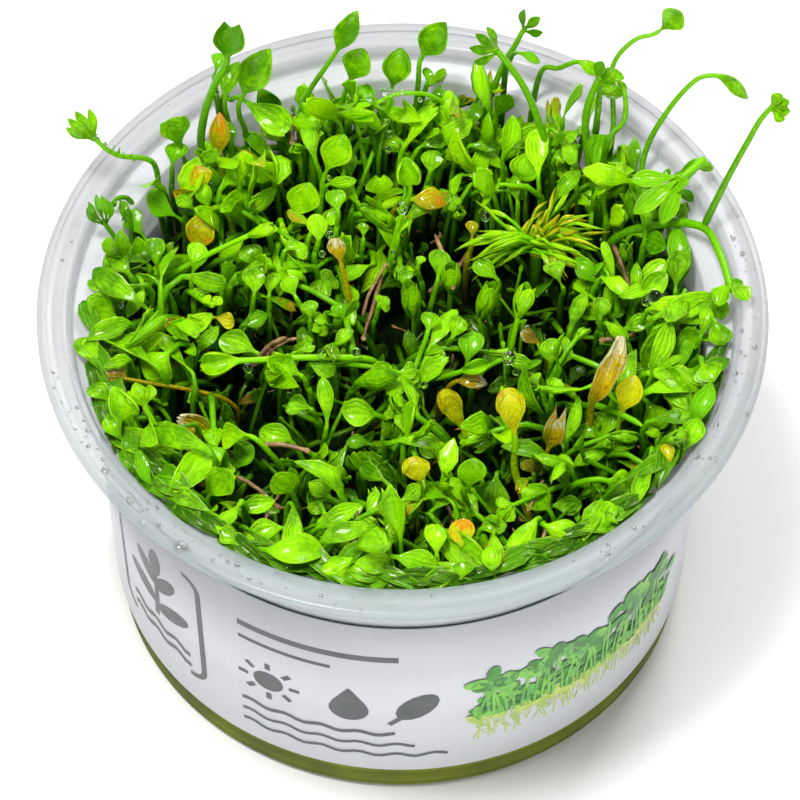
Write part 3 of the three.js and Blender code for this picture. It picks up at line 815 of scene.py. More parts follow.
class PlantMesh:
    """Collects stalks and blades in one mesh, with the tone of every point."""

    neck_share = 0.3
    wobble = 0.16
    wobble_scale = 0.45

    def __init__(self) -> None:
        """Starts an empty mesh with its map and its tone."""
        self.mesh = bmesh.new()
        self.mesh.loops.layers.uv.new("UVMap")
        self.tone = self.mesh.verts.layers.float_color.new(TONE)

    @staticmethod
    def _frames(route: Route, shares: Sequence[float], facing: Vector, start: int) -> list[tuple]:
        """Carries one frame along the route without twist, from the blade's middle both ways.

        Args:
            route: The way.
            shares: Shares of the way that want a frame.
            facing: The way that the blade's face looks.
            start: Number of the share where the blade faces that way.

        Returns:
            Centre, tangent and across of each share, and the share.
        """
        tangents = [route.heading(share) for share in shares]
        across = [Vector()] * len(shares)
        first = tangents[start].cross(facing)
        if first.length < 0.2:
            first = tangents[start].cross(Vector((1.0, 0.2, 0.0)))
        across[start] = first.normalized()
        for numbers, back in ((range(start + 1, len(shares)), -1), (range(start - 1, -1, -1), 1)):
            for number in numbers:
                held = across[number + back]
                flat = held - tangents[number] * held.dot(tangents[number])
                across[number] = flat.normalized()
        frames = []
        for share, tangent, side in zip(shares, tangents, across):
            centre = route.at(share)
            sway = noise.noise_vector(centre * PlantMesh.wobble_scale) * PlantMesh.wobble
            frames.append((centre + sway * smooth(share * 4), tangent, side, share))
        return frames

    def weave(self, route: Route, growth: Growth) -> None:
        """Adds one closed stalk and blade.

        Args:
            route: The way from the foot to the blade's tip.
            growth: Its sizes and tone.
        """
        blade = growth.blade
        blade_shares = [0.5 - 0.5 * math.cos(math.pi * step / growth.blade_rings)
                        for step in range(1, growth.blade_rings + 1)]
        shares = [growth.neck * step / growth.stalk_rings for step in range(growth.stalk_rings + 1)]
        shares += [growth.neck + (1 - growth.neck) * share for share in blade_shares]
        heads = [0.0] * (growth.stalk_rings + 1) + blade_shares
        middle = growth.stalk_rings + growth.blade_rings // 2
        frames = self._frames(route, shares, growth.facing, middle)
        length = (route.at(1.0) - route.at(growth.neck)).length
        rings = len(shares) - 1
        grown = bmesh.ops.create_grid(
            self.mesh, x_segments=growth.sides, y_segments=rings, size=1.0, calc_uvs=True)["verts"]
        turns = [math.pi * 2 * side / growth.sides for side in range(growth.sides + 1)]
        circle = [(round(math.cos(turn), 6), round(math.sin(turn), 6)) for turn in turns]
        for vertex in grown:
            ring = round((vertex.co.y + 1) * rings / 2)
            side = round((vertex.co.x + 1) * growth.sides / 2)
            out, thick = circle[side]
            vertex.co = self._place(frames[ring], heads[ring], ring in (0, rings), out, thick, length, growth)
            vertex[self.tone] = (growth.shade, heads[ring], abs(out), growth.decay)
        bmesh.ops.remove_doubles(self.mesh, verts=grown, dist=MERGE_DISTANCE)

    def _place(self, frame: tuple, head: float, closed: bool, out: float, thick: float,
               length: float, growth: Growth) -> Vector:
        """Returns the place of one point of a ring.

        Args:
            frame: Centre, tangent and across of the ring, and its share of the way.
            head: Share of the blade's length, 0 on the stalk.
            closed: True at the foot and at the tip, where the ring is one point.
            out: How far the point is to the side, from -1 to 1.
            thick: How far it is towards the face, from -1 to 1.
            length: Length of the blade.
            growth: Sizes of the frond.

        Returns:
            The point in millimetres.
        """
        centre, tangent, across, share = frame
        blade = growth.blade
        stalk = growth.stalk * blend_between(1.2, 0.82, min(share / growth.neck, 1.0))
        into = smooth(head / self.neck_share)
        if blade.twist:
            across = Matrix.Rotation(blade.twist * (head - 0.5) * into, 3, tangent) @ across
        face = across.cross(tangent)
        roll = blade.rolled * into
        broad = growth.width
        if abs(roll) > 0.01:
            broad *= abs(roll) / math.sin(min(abs(roll), FULL_TURN / 4))
        stem = stalk * (1 - into)
        wide = math.sqrt((blade.half_width(head) * broad) ** 2 + stem ** 2) if head else stalk
        deep = blend_between(stalk, blade.thickness, into) * math.sqrt(max(1 - head ** 6, 0.0))
        if closed:
            deep = 0.0
            wide = wide if head and blade.blunt else 0.0
        turn = roll * out
        if abs(roll) > 0.01:
            side, lift = math.sin(turn) / roll * wide, (1 - math.cos(turn)) / roll * wide
        else:
            side, lift = out * wide, 0.0
        side -= math.sin(turn) * thick * deep
        lift += math.cos(turn) * thick * deep
        lift += blade.fold * abs(out) * wide * into
        lift += blade.ruffle * wide * out * out * into * math.sin(FULL_TURN * blade.waves * head + out)
        lift += blade.arch * length * math.sin(math.pi * head)
        side += blade.sweep * length * head * head
        ahead = 0.0
        if head > 0.5 and (blade.blunt or not closed):
            ahead -= blade.notch * length * (1 - abs(out)) ** 1.5 * (head - 0.5) * 2
            phase = (math.atan2(thick, out) - FULL_TURN / 4) * growth.sides / 2
            ahead += blade.teeth * length * math.cos(phase) * smooth((head - 0.6) / 0.4)
        elif closed and head:
            ahead -= blade.notch * length
        return centre + across * side + face * lift + tangent * ahead

    def bead(self, centre: Vector, radius: float, squash: float = 1.0) -> None:
        """Adds a small round bead, such as a droplet.

        Args:
            centre: Its middle.
            radius: Its radius.
            squash: Height as a share of its width.
        """
        place = Matrix.Translation(centre) @ Matrix.Diagonal((1.0, 1.0, squash, 1.0))
        bmesh.ops.create_icosphere(self.mesh, subdivisions=2, radius=radius, matrix=place)

    def wet(self, drops: PlantMesh, chance: random.Random, count: int) -> None:
        """Sets small beads of water on the blades of this mesh.

        Args:
            drops: Mesh that takes the beads.
            chance: Source of chance.
            count: Number of beads.
        """
        self.mesh.normal_update()
        leaves = [vertex for vertex in self.mesh.verts
                  if vertex[self.tone][1] > 0.3 and vertex.normal.dot(TO_VIEWER) > 0.4]
        for vertex in chance.sample(leaves, min(count, len(leaves))):
            radius = 0.07 + 0.16 * chance.random() ** 2
            place = Matrix.Translation(vertex.co + vertex.normal * radius * 0.3)
            bmesh.ops.create_icosphere(drops.mesh, subdivisions=1, radius=radius, matrix=place)

    def finish(self, name: str, tint: Tint, materials: dict, replaced: Sequence[str] = (),
               levels: int = 0) -> bpy.types.Object:
        """Writes the mesh as one piece of a leaf tint and returns it."""
        bmesh.ops.recalc_face_normals(self.mesh, faces=self.mesh.faces)
        return finish_piece(name, self.mesh, [materials[tint]], replaced, levels)


# Heads


class Head(Enum):
    """Kinds of head that a stalk ends in."""

    SPOON = "spoon"
    OVAL = "oval"
    STRAP = "strap"
    NOTCHED = "notched"
    SQUARE = "square"
    CLUB = "club"
    BUD = "bud"
    POD = "pod"
    SCROLL = "scroll"
    FRINGE = "fringe"
    CROWN = "crown"
    PRONG = "prong"
    FUNNEL = "funnel"
    HAND = "hand"
    DISC = "disc"
    RUFFLE = "ruffle"
    FAN = "fan"
    PAIR = "pair"
    CLAW = "claw"
    HOOD = "hood"
    NEEDLE = "needle"


BLADES = {
    Head.SPOON: Blade(widest=0.68, base=1.4, tip=0.6, rolled=0.9, arch=0.05),
    Head.OVAL: Blade(widest=0.60, base=1.3, tip=0.85, rolled=0.9, arch=0.06),
    Head.STRAP: Blade(widest=0.52, base=0.9, tip=1.0, rolled=1.1, arch=0.08),
    Head.NOTCHED: Blade(widest=0.74, base=1.25, tip=0.5, rolled=1.1, notch=0.2, fold=0.1, blunt=0.25),
    Head.SQUARE: Blade(widest=0.82, base=1.15, tip=0.3, rolled=0.6, arch=0.02, teeth=0.03, blunt=0.85),
    Head.CLUB: Blade(widest=0.66, base=0.95, tip=0.45, thickness=0.34, rolled=2.1, ruffle=0.1, teeth=0.05,
                     blunt=0.45),
    Head.BUD: Blade(widest=0.56, base=0.8, tip=0.6, thickness=0.28, rolled=2.2, teeth=0.09, blunt=0.4),
    Head.POD: Blade(widest=0.80, base=0.5, tip=0.3, thickness=0.18, rolled=1.2, ruffle=0.2, blunt=0.6),
    Head.PRONG: Blade(widest=0.42, base=1.0, tip=0.75, thickness=0.3, rolled=1.5, notch=0.5, blunt=0.5),
    Head.SCROLL: Blade(widest=0.72, base=0.7, tip=0.45, thickness=0.2, rolled=2.0, arch=0.12, sweep=0.16,
                       twist=0.5, ruffle=0.3, waves=2.5, blunt=0.45),
    Head.FRINGE: Blade(widest=0.55, base=0.9, tip=0.6, thickness=0.4, rolled=1.5, teeth=0.15, blunt=0.28),
    Head.FUNNEL: Blade(widest=0.66, base=1.0, tip=0.5, thickness=0.2, rolled=1.5, notch=0.24, blunt=0.5),
    Head.DISC: Blade(widest=0.60, base=0.75, tip=0.5, rolled=0.6, arch=0.03),
    Head.RUFFLE: Blade(widest=0.70, base=0.95, tip=0.45, rolled=1.1, ruffle=0.28, waves=4.0, teeth=0.05,
                       blunt=0.5),
    Head.HOOD: Blade(widest=0.62, base=0.9, tip=0.65, rolled=-1.2, arch=0.12),
    Head.NEEDLE: Blade(widest=0.35, base=0.7, tip=1.3, thickness=0.16, rolled=1.0),
}
LEAFLET = Blade(widest=0.64, base=0.95, tip=0.75, thickness=0.16, rolled=0.9, arch=0.04)


@dataclass(frozen=True)
class Leaflets:
    """How the leaflets of a divided head stand: fanned out, or in a ring like a cupped hand.

    Spread is half the fan's angle in radians, and flare is its share at the tips. Ring and slim are the
    ring's radius and the leaflets' half width as shares of the head's width, and closing is the share of
    the ring that is left at the tips.
    """

    count: int
    spread: float = 0.0
    flare: float = 1.25
    ring: float = 0.0
    slim: float = 1.0
    closing: float = 0.5

    def route(self, start: Vector, axes: tuple[Vector, Vector, Vector], length: float, width: float,
              turn: float) -> tuple[list[Vector], Vector]:
        """Finds the way of one leaflet.

        Args:
            start: Its base.
            axes: The head's axis, its across and its face.
            length: Length of the head.
            width: Half width of the head.
            turn: Place of the leaflet, from 0 to 1 over the fan or round the ring.

        Returns:
            The points of the leaflet, and the way that its face looks.
        """
        axis, across, face = axes
        if self.ring:
            out = across * math.cos(FULL_TURN * turn) + face * math.sin(FULL_TURN * turn)
            swell = out * width * self.ring
            final = start + axis * length + swell * self.closing
            return [start, start + axis * length * 0.5 + swell, final], -out
        side = turn * 2 - 1
        lean = side * self.spread
        reach = length * (1.0 - 0.15 * abs(side))
        middle = start + (axis * math.cos(lean) + across * math.sin(lean)) * reach * 0.5
        lean *= self.flare
        final = middle + (axis * math.cos(lean) + across * math.sin(lean)) * reach * 0.5
        return [start, middle, final], (face + across * side * 0.35).normalized()


DIVIDED = {
    Head.FAN: Leaflets(4, 0.6),
    Head.PAIR: Leaflets(2, 0.5),
    Head.HAND: Leaflets(5, 0.7, flare=0.1, slim=0.8),
    Head.CLAW: Leaflets(3, 0.4),
    Head.CROWN: Leaflets(4, ring=0.72, slim=0.66, closing=0.62),
}


@dataclass(frozen=True)
class Fineness:
    """How finely a frond is divided."""

    sides: int
    rings_per_span: int
    blade_rings: int


class Detail(Enum):
    """Four levels of fineness, from the tall fronds to the lowest ones."""

    TALL = Fineness(12, 4, 12)
    MIDDLE = Fineness(8, 3, 9)
    SHORT = Fineness(8, 2, 6)
    LOW = Fineness(6, 2, 5)


@dataclass(frozen=True)
class Frond:
    """One frond: its head, half width, tone and the points that its stalk passes, with the tip last."""

    head: Head
    width: float
    points: tuple[Vector, ...]
    stalk: float = 0.46
    shade: float = 0.6
    decay: float = 0.0
    facing: Vector = field(default_factory=lambda: TO_VIEWER.copy())
    count: int = 0
    variation: float = 0.0

    def weave(self, plant: PlantMesh, detail: Detail) -> None:
        """Adds the frond to a mesh.

        Args:
            plant: The mesh.
            detail: How finely it is divided.
        """
        if self.head in DIVIDED:
            self._weave_divided(plant, detail.value)
        else:
            self._weave_single(plant, detail.value)

    def _blade(self, blade: Blade, number: int = 0) -> Blade:
        """Returns a blade with the frond's own variation, the same at each run."""
        if not self.variation:
            return blade
        tip = self.points[-1]
        return blade.varied(random.Random(round(tip.x * 997 + tip.y * 131) + number), self.variation)

    def _growth(self, fine: Fineness, blade: Blade, width: float, neck: float, spans: int) -> Growth:
        """Returns the growth of one stalk and blade."""
        return Growth(
            stalk=self.stalk, width=width, blade=blade, facing=self.facing, shade=self.shade,
            decay=self.decay, neck=neck, sides=fine.sides, stalk_rings=fine.rings_per_span * spans,
            blade_rings=fine.blade_rings)

    def _weave_single(self, plant: PlantMesh, fine: Fineness) -> None:
        """Adds a stalk that widens into one blade."""
        spans = len(self.points) - 2
        neck = spans / (spans + 1)
        growth = self._growth(fine, self._blade(BLADES[self.head]), self.width, neck, spans)
        plant.weave(Route(self.points), growth)

    def _weave_divided(self, plant: PlantMesh, fine: Fineness) -> None:
        """Adds a stalk with leaflets that spread from its end."""
        leaflets = DIVIDED[self.head]
        stem = list(self.points[:-1])
        end, tip = stem[-1], self.points[-1]
        axis = (tip - end).normalized()
        length = (tip - end).length
        stem.append(end + axis * self.stalk)
        spans = len(stem) - 2
        plain = Blade(thickness=self.stalk * 0.8, rolled=0.0, base=0.5, tip=0.5)
        growth = self._growth(fine, plain, self.stalk * 1.1, spans / (spans + 1), spans)
        plant.weave(Route(stem), growth)
        across = axis.cross(self.facing).normalized()
        axes = (axis, across, across.cross(axis))
        count = self.count or leaflets.count
        start = end - axis * self.stalk * 0.6
        parts = count if leaflets.ring else count - 1
        for number in range(count):
            points, looks = leaflets.route(start, axes, length, self.width, number / parts)
            leaf = Growth(
                stalk=self.stalk * 0.55, width=self.width * leaflets.slim, blade=self._blade(LEAFLET, number),
                facing=looks, shade=self.shade + 0.08 * (number % 2), decay=self.decay, neck=0.1,
                sides=fine.sides, stalk_rings=1, blade_rings=max(fine.blade_rings - 2, 6))
            plant.weave(Route(points), leaf)


# Cup, label and gel


@dataclass
class CultureCup:
    """The clear cup: floor, tapered wall, lid ledge, collar and flange with a down-turned skirt."""

    height: float = 56.5
    flange_radius: float = 47.5
    flange_inner_radius: float = 43.6
    flange_thickness: float = 0.9
    skirt_drop: float = 1.3
    skirt_thickness: float = 0.8
    lip_radius: float = 43.0
    lip_height: float = 55.6
    ledge_height: float = 53.9
    ledge_drop: float = 0.6
    wall_top_radius: float = 40.45
    wall_base_radius: float = 38.25
    wall_top_height: float = 52.5
    wall_thickness: float = 0.8
    floor_thickness: float = 1.0
    base_corner: float = 0.8
    segments: int = 144

    def wall_radius(self, height: float) -> float:
        """Returns the wall's outer radius at a height."""
        share = height / self.wall_top_height
        return blend_between(self.wall_base_radius, self.wall_top_radius, share)

    def inner_radius(self, height: float) -> float:
        """Returns the radius of the free space inside the cup at a height."""
        if height > self.height + 0.4:
            return self.flange_radius
        if height > self.ledge_height:
            return self.lip_radius - 0.4
        return self.wall_radius(height) - self.wall_thickness - 0.3

    def outline(self) -> list[Pixel]:
        """Returns radius and height round the wall's section, from the outer floor to the inner one."""
        under = self.height - self.flange_thickness
        skirt = self.height - self.skirt_drop
        collar = self.lip_radius + self.wall_thickness
        foot = self.ledge_height - self.ledge_drop
        inner_foot = self.wall_radius(foot) - self.wall_thickness
        inner_base = self.wall_radius(self.floor_thickness) - self.wall_thickness
        bead = 0.35
        return [
            (self.wall_base_radius - self.base_corner * 1.6, 0.0),
            (self.wall_base_radius - self.base_corner * 0.5, 0.25),
            (self.wall_radius(self.base_corner), self.base_corner),
            (self.wall_radius(20.0), 20.0),
            (self.wall_radius(40.0), 40.0),
            (self.wall_top_radius, self.wall_top_height),
            (self.wall_top_radius + 0.5, self.wall_top_height + 0.4),
            (collar, foot),
            (collar, under - 0.4),
            (collar + 0.4, under),
            (self.flange_radius - self.skirt_thickness, under),
            (self.flange_radius - self.skirt_thickness, skirt),
            (self.flange_radius - 0.1, skirt),
            (self.flange_radius, skirt + 0.2),
            (self.flange_radius, self.height - bead),
            (self.flange_radius - bead, self.height),
            (self.flange_radius - bead * 3, self.height),
            (self.flange_radius - bead * 3.6, self.height - 0.18),
            (self.flange_inner_radius + 1.2, self.height - 0.18),
            (self.flange_inner_radius + 0.7, self.height),
            (self.flange_inner_radius, self.height - 0.05),
            (self.lip_radius + 0.1, self.lip_height + 0.25),
            (self.lip_radius, self.lip_height - 0.2),
            (self.lip_radius, self.ledge_height + 0.25),
            (self.lip_radius - 0.3, self.ledge_height),
            (inner_foot + 0.3, self.ledge_height - 0.1),
            (inner_foot, foot),
            (self.wall_radius(30.0) - self.wall_thickness, 30.0),
            (inner_base, self.floor_thickness + self.base_corner),
            (inner_base - self.base_corner, self.floor_thickness),
        ]

    def build(self, plastic: bpy.types.Material) -> bpy.types.Object:
        """Turns the outline and closes both sides of the floor.

        Args:
            plastic: The clear plastic.

        Returns:
            The cup.
        """
        outline = self.outline()
        mesh = turned_mesh([(0.0, 0.0), *outline, (0.0, self.floor_thickness)], self.segments, closed=False)
        return finish_piece("cup_shell", mesh, [plastic], ["cup"])


@dataclass
class GelDisc:
    """The olive gel on the cup's floor."""

    cup: CultureCup
    top: float = 9.0
    gap: float = 0.3

    def build(self, gel: bpy.types.Material) -> bpy.types.Object:
        """Builds the disc and returns it."""
        bottom = self.cup.floor_thickness + self.gap
        inset = self.cup.wall_thickness + self.gap
        low = self.cup.wall_radius(bottom) - inset
        high = self.cup.wall_radius(self.top) - inset
        outline = [(0.0, bottom), (low - 1.2, bottom), (low - 0.3, bottom + 0.3), (low, bottom + 1.0),
                   (high, self.top - 0.4), (high - 0.5, self.top), (0.0, self.top)]
        mesh = turned_mesh(outline, 96, closed=False)
        return finish_piece("gel_disc", mesh, [gel], ["nutrient_gel"])


class Ink(Enum):
    """Inks of the label's print, in the order of its material slots."""

    GREY = 0
    LEAF = 1
    SPRIG = 2
    ROOT = 3


@dataclass
class LabelSleeve:
    """The printed film round the wall. Its print is laid out flat: round the cup, then up it."""

    cup: CultureCup
    bottom: float = 5.7
    top: float = 42.4
    gap: float = 0.3
    thickness: float = 0.2
    proud: float = 0.03
    print_radius: float = 40.0

    def outer_radius(self, height: float) -> float:
        """Returns the film's outer radius at a height."""
        return self.cup.wall_radius(height) + self.gap + self.thickness

    def build_film(self, paper: bpy.types.Material) -> bpy.types.Object:
        """Builds the bare film and returns it."""
        low, high = self.outer_radius(self.bottom), self.outer_radius(self.top)
        outline = [(low - self.thickness, self.bottom), (low, self.bottom), (high, self.top),
                   (high - self.thickness, self.top)]
        mesh = turned_mesh(outline, 192)
        return finish_piece("label_film", mesh, [paper], ["label"])

    def _wrap(self, vertex: bmesh.types.BMVert) -> None:
        """Lays one flat point of the print on the film."""
        turn = vertex.co.x / self.print_radius
        radius = self.outer_radius(vertex.co.y) + self.proud
        vertex.co = Vector((math.sin(turn) * radius, -math.cos(turn) * radius, vertex.co.y))

    def _shape(self, mesh: bmesh.types.BMesh, matrix: Matrix, segments: int, ink: Ink) -> None:
        """Adds a filled circle, changed by a matrix, in one ink."""
        made = bmesh.ops.create_circle(
            mesh, cap_ends=True, cap_tris=True, radius=1.0, segments=segments, matrix=matrix)["verts"]
        for face in {face for vertex in made for face in vertex.link_faces}:
            face.material_index = ink.value

    def _line(self, mesh: bmesh.types.BMesh, points: Sequence[Pixel], width: float, ink: Ink) -> None:
        """Adds a flat line of one width through points, in one ink."""
        steps = len(points) - 1
        made = bmesh.ops.create_grid(mesh, x_segments=steps, y_segments=1, size=1.0)["verts"]
        for vertex in made:
            number = round((vertex.co.x + 1) * steps / 2)
            before = Vector(points[max(number - 1, 0)])
            after = Vector(points[min(number + 1, steps)])
            along = (after - before).normalized()
            side = Vector((-along.y, along.x)) * (width / 2 * (1 if vertex.co.y > 0 else -1))
            place = Vector(points[number]) + side
            vertex.co = Vector((place.x, place.y, 0.0))
        for face in {face for vertex in made for face in vertex.link_faces}:
            face.material_index = ink.value

    def _leaf(self, mesh: bmesh.types.BMesh, foot: Pixel, angle: float, length: float, wide: float,
              ink: Ink) -> None:
        """Adds a flat oval leaf that grows from its foot."""
        turn = Matrix.Rotation(angle, 4, "Z")
        size = Matrix.Diagonal((length / 2, wide / 2, 1.0, 1.0))
        shift = Matrix.Translation((length / 2, 0.0, 0.0))
        self._shape(mesh, Matrix.Translation((*foot, 0.0)) @ turn @ shift @ size, 14, ink)

    def _emblem(self, mesh: bmesh.types.BMesh) -> None:
        """Adds the frame at the left with a sprout over two ripples in it."""
        left, right, low, high, corner = -47.0, -28.5, 12.0, 37.0, 2.6
        frame_width, sprout_width, ripple_width = 0.95, 1.0, 0.9
        outline: list[Pixel] = []
        corners = [(right, high, 0.0), (left, high, 0.25), (left, low, 0.5), (right, low, 0.75)]
        for x, y, start in corners:
            middle_x = x - math.copysign(corner, x - (left + right) / 2)
            middle_y = y - math.copysign(corner, y - (low + high) / 2)
            for step in range(7):
                turn = (start + step / 24) * FULL_TURN
                outline.append((middle_x + math.cos(turn) * corner, middle_y + math.sin(turn) * corner))
        outline.append(outline[0])
        self._line(mesh, outline, frame_width, Ink.GREY)
        centre = (left + right) / 2
        stem = [(centre + 0.5 * math.sin(step / 4), 19.0 + step * 1.2) for step in range(10)]
        self._line(mesh, stem, sprout_width, Ink.GREY)
        for height, angle, length in ((21.0, 0.5, 7.4), (22.0, 2.6, 7.4), (26.0, 0.9, 6.6), (26.6, 2.2, 6.6),
                                      (29.2, 1.5, 6.4)):
            self._leaf(mesh, (centre + 0.4, height), angle, length, length * 0.42, Ink.GREY)
        for level in (14.3, 16.8):
            ripple = self._ripple(left + 3.0, level, 14, pace=1.0, height=0.5, turn=1.4)
            self._line(mesh, ripple, ripple_width, Ink.GREY)

    @staticmethod
    def _ripple(start: float, level: float, count: int, pace: float, height: float,
                turn: float) -> list[Pixel]:
        """Returns the points of a wavy line.

        Args:
            start: Where it begins along the label.
            level: The height it waves about.
            count: How many points it has.
            pace: The way from one point to the next.
            height: How far it waves up and down.
            turn: The wave's turn from one point to the next, in radians.

        Returns:
            The points, from left to right.
        """
        return [(start + step * pace, level + height * math.sin(step * turn)) for step in range(count)]

    def _marks(self, mesh: bmesh.types.BMesh) -> None:
        """Adds the grey marks in the middle: rules, a sun, a drop and a leaf, and two ripples."""
        left, rule_parts, ripple_pace = -22.0, 14, 0.9
        for level, last, width in ((34.6, 0.0, 1.3), (31.2, -9.0, 0.8)):
            rule = [(blend_between(left, last, step / rule_parts), level) for step in range(rule_parts + 1)]
            self._line(mesh, rule, width, Ink.GREY)
        self._sun(mesh, (-17.8, 22.3))
        self._drop(mesh, (-6.6, 20.9))
        leaf_foot = (0.2, 19.4)
        self._leaf(mesh, leaf_foot, 0.9, 7.6, 4.4, Ink.GREY)
        self._line(mesh, [(-1.2, 17.8), leaf_foot, (1.4, 21.0)], 0.8, Ink.GREY)
        for level, last, width in ((15.2, 1.0, 0.75), (12.4, 4.0, 0.6), (9.8, 8.5, 0.6)):
            count = int((last - left) / ripple_pace)
            ripple = self._ripple(left, level, count, ripple_pace, height=0.35, turn=1.1)
            self._line(mesh, ripple, width, Ink.GREY)

    def _sun(self, mesh: bmesh.types.BMesh, centre: Pixel) -> None:
        """Adds a disc with eight short rays round it."""
        disc, disc_corners, rays, ray_width = 2.2, 24, 8, 0.8
        ray_start, ray_end = 3.0, 4.5
        self._shape(mesh, Matrix.Translation((*centre, 0.0)) @ Matrix.Scale(disc, 4), disc_corners, Ink.GREY)
        for ray in range(rays):
            turn = FULL_TURN * ray / rays
            reach = [(centre[0] + math.cos(turn) * size, centre[1] + math.sin(turn) * size)
                     for size in (ray_start, ray_end)]
            self._line(mesh, reach, ray_width, Ink.GREY)

    def _drop(self, mesh: bmesh.types.BMesh, centre: Pixel) -> None:
        """Adds a drop: a disc and smaller ones above it."""
        disc, disc_corners = 2.7, 24
        neck, neck_loss, neck_rise, neck_discs, neck_corners = 2.5, 0.36, 0.72, 7, 16
        self._shape(mesh, Matrix.Translation((*centre, 0.0)) @ Matrix.Scale(disc, 4), disc_corners, Ink.GREY)
        for step in range(neck_discs):
            place = Matrix.Translation((centre[0], centre[1] + neck_rise * (step + 1), 0.0))
            size = Matrix.Scale(neck - step * neck_loss, 4)
            self._shape(mesh, place @ size, neck_corners, Ink.GREY)

    def _border(self, mesh: bmesh.types.BMesh) -> None:
        """Adds the green garden border at the right: round leaves, blades and fine roots."""
        chance = random.Random(41)
        ground = 17.5
        first, last = 10.5, 43.5
        root_count, leaf_count, stalk_count = 110, 260, 34
        root_width, stalk_width, stalk_gap, stalk_parts = 0.2, 0.4, 0.97, 5
        greens = (Ink.LEAF, Ink.LEAF, Ink.SPRIG)
        for _ in range(root_count):
            x = chance.uniform(first, last)
            depth = chance.uniform(2.0, 6.0)
            root = [(x, ground), (x + chance.uniform(-0.5, 0.5), ground - depth / 2),
                    (x + chance.uniform(-1.2, 1.2), ground - depth)]
            self._line(mesh, root, root_width, Ink.ROOT)
        for _ in range(leaf_count):
            x = chance.uniform(first, last)
            y = ground + chance.uniform(-1.6, 4.2)
            ink = Ink.ROOT if y < ground - 0.4 else chance.choice(greens)
            self._leaf(mesh, (x, y), chance.uniform(0.3, 2.8), chance.uniform(1.6, 3.2),
                       chance.uniform(0.7, 1.4), ink)
        for step in range(stalk_count):
            x = first + 0.5 + step * stalk_gap + chance.uniform(-0.3, 0.3)
            tall = chance.uniform(4.5, 11.0)
            lean = chance.uniform(-1.4, 1.4)
            stalk = [(x + lean * (part / stalk_parts) ** 2, ground + tall * part / stalk_parts)
                     for part in range(stalk_parts + 1)]
            self._line(mesh, stalk, stalk_width, Ink.SPRIG)
            for leaf in range(chance.choice((1, 2, 3))):
                angle = FULL_TURN / 4 + chance.uniform(-0.9, 0.9) + (leaf - 1) * 0.8
                self._leaf(mesh, stalk[-1], angle, chance.uniform(2.4, 3.8), chance.uniform(1.5, 2.5),
                           chance.choice(greens))

    def build_print(self, inks: Sequence[bpy.types.Material]) -> bpy.types.Object:
        """Builds the print and returns it.

        Args:
            inks: The materials of the inks, in the order of Ink.

        Returns:
            The print.
        """
        mesh = bmesh.new()
        self._emblem(mesh)
        self._marks(mesh)
        self._border(mesh)
        for order, face in enumerate(mesh.faces):
            step = 0.00004 * order
            for vertex in face.verts:
                vertex.co.z = step
        for vertex in mesh.verts:
            lifted = vertex.co.z
            self._wrap(vertex)
            vertex.co += Vector((vertex.co.x, vertex.co.y, 0.0)).normalized() * lifted
        return finish_piece("label_print", mesh, inks)


# Plants


@dataclass
class Cushion:
    """The lie of the cushion: how high its mat and its leaves stand at each place of the cup."""

    cup: CultureCup
    centre_height: float = 39.5
    edge_rise: float = 3.0
    front_rise: float = 0.06
    reach: float = 36.5

    def mat_height(self, x: float, y: float) -> float:
        """Returns the height of the mat's top at a place."""
        edge = math.hypot(x, y) / self.cup.wall_base_radius
        return self.centre_height + self.edge_rise * edge * edge - self.front_rise * y

    def inside(self, point: Vector, margin: float = 0.0, lift: bool = False) -> Vector:
        """Pulls a point in from the cup's wall, if it is past it.

        Args:
            point: The point.
            margin: Room that it keeps from the wall.
            lift: Moves it towards the viewer first, until it is over the ledge.

        Returns:
            The point, or one near it that is clear of the wall.
        """
        free = self.cup.inner_radius(point.z) - margin
        away = math.hypot(point.x, point.y)
        over = self.cup.ledge_height + 0.4 + margin
        if lift and away > free and point.z < over:
            return self.inside(point + TO_VIEWER * ((over - point.z) / TO_VIEWER.z), margin)
        if away <= free:
            return point
        return Vector((point.x * free / away, point.y * free / away, point.z))

    def all_inside(self, points: Sequence[Vector], margin: float) -> tuple[Vector, ...]:
        """Returns points that are all clear of the wall by a margin."""
        return tuple(self.inside(point, margin) for point in points)

    def sunk(self, x: float, y: float, depth: float) -> Vector:
        """Returns the point at a depth under the mat's top."""
        return Vector((x, y, self.mat_height(x, y) - depth))

    def foot(self, point: Vector, sink: float = 6.0) -> Vector:
        """Returns the foot of a stalk that rises through a point, sunk in the mat."""
        away = math.hypot(point.x, point.y)
        share = min(1.0, self.reach / max(away, 0.1))
        foot = Vector((point.x * share, point.y * share, 0.0))
        foot.z = self.mat_height(foot.x, foot.y) - sink
        return foot


@dataclass(frozen=True)
class TallFrond:
    """A tall frond that stands for a CAD node of the same name, along the same points."""

    name: str
    head: Head
    width: float
    tint: Tint
    route: tuple[Point, ...]
    stalk: float = 0.46
    shade: float = 0.6
    decay: float = 0.0
    count: int = 0
    springs: bool = False
    facing: Point | None = None
    variation: float = 0.35

    def build(self, cushion: Cushion, materials: dict) -> bpy.types.Object:
        """Builds the frond and returns it.

        Args:
            cushion: The cushion that it grows from.
            materials: Leaf materials by tint.

        Returns:
            The frond.
        """
        points = [Vector(point) for point in self.route]
        if not self.springs:
            top = cushion.foot(points[0], -0.45)
            points = [top - Vector((0.0, 0.0, 6.0)), top, *points]
        facing = Vector(self.facing).normalized() if self.facing else TO_VIEWER
        plant = PlantMesh()
        Frond(self.head, self.width, tuple(points), self.stalk, self.shade, self.decay, facing,
              self.count, self.variation).weave(plant, Detail.TALL)
        return plant.finish("leaf_" + self.name, self.tint, materials, [self.name], levels=1)


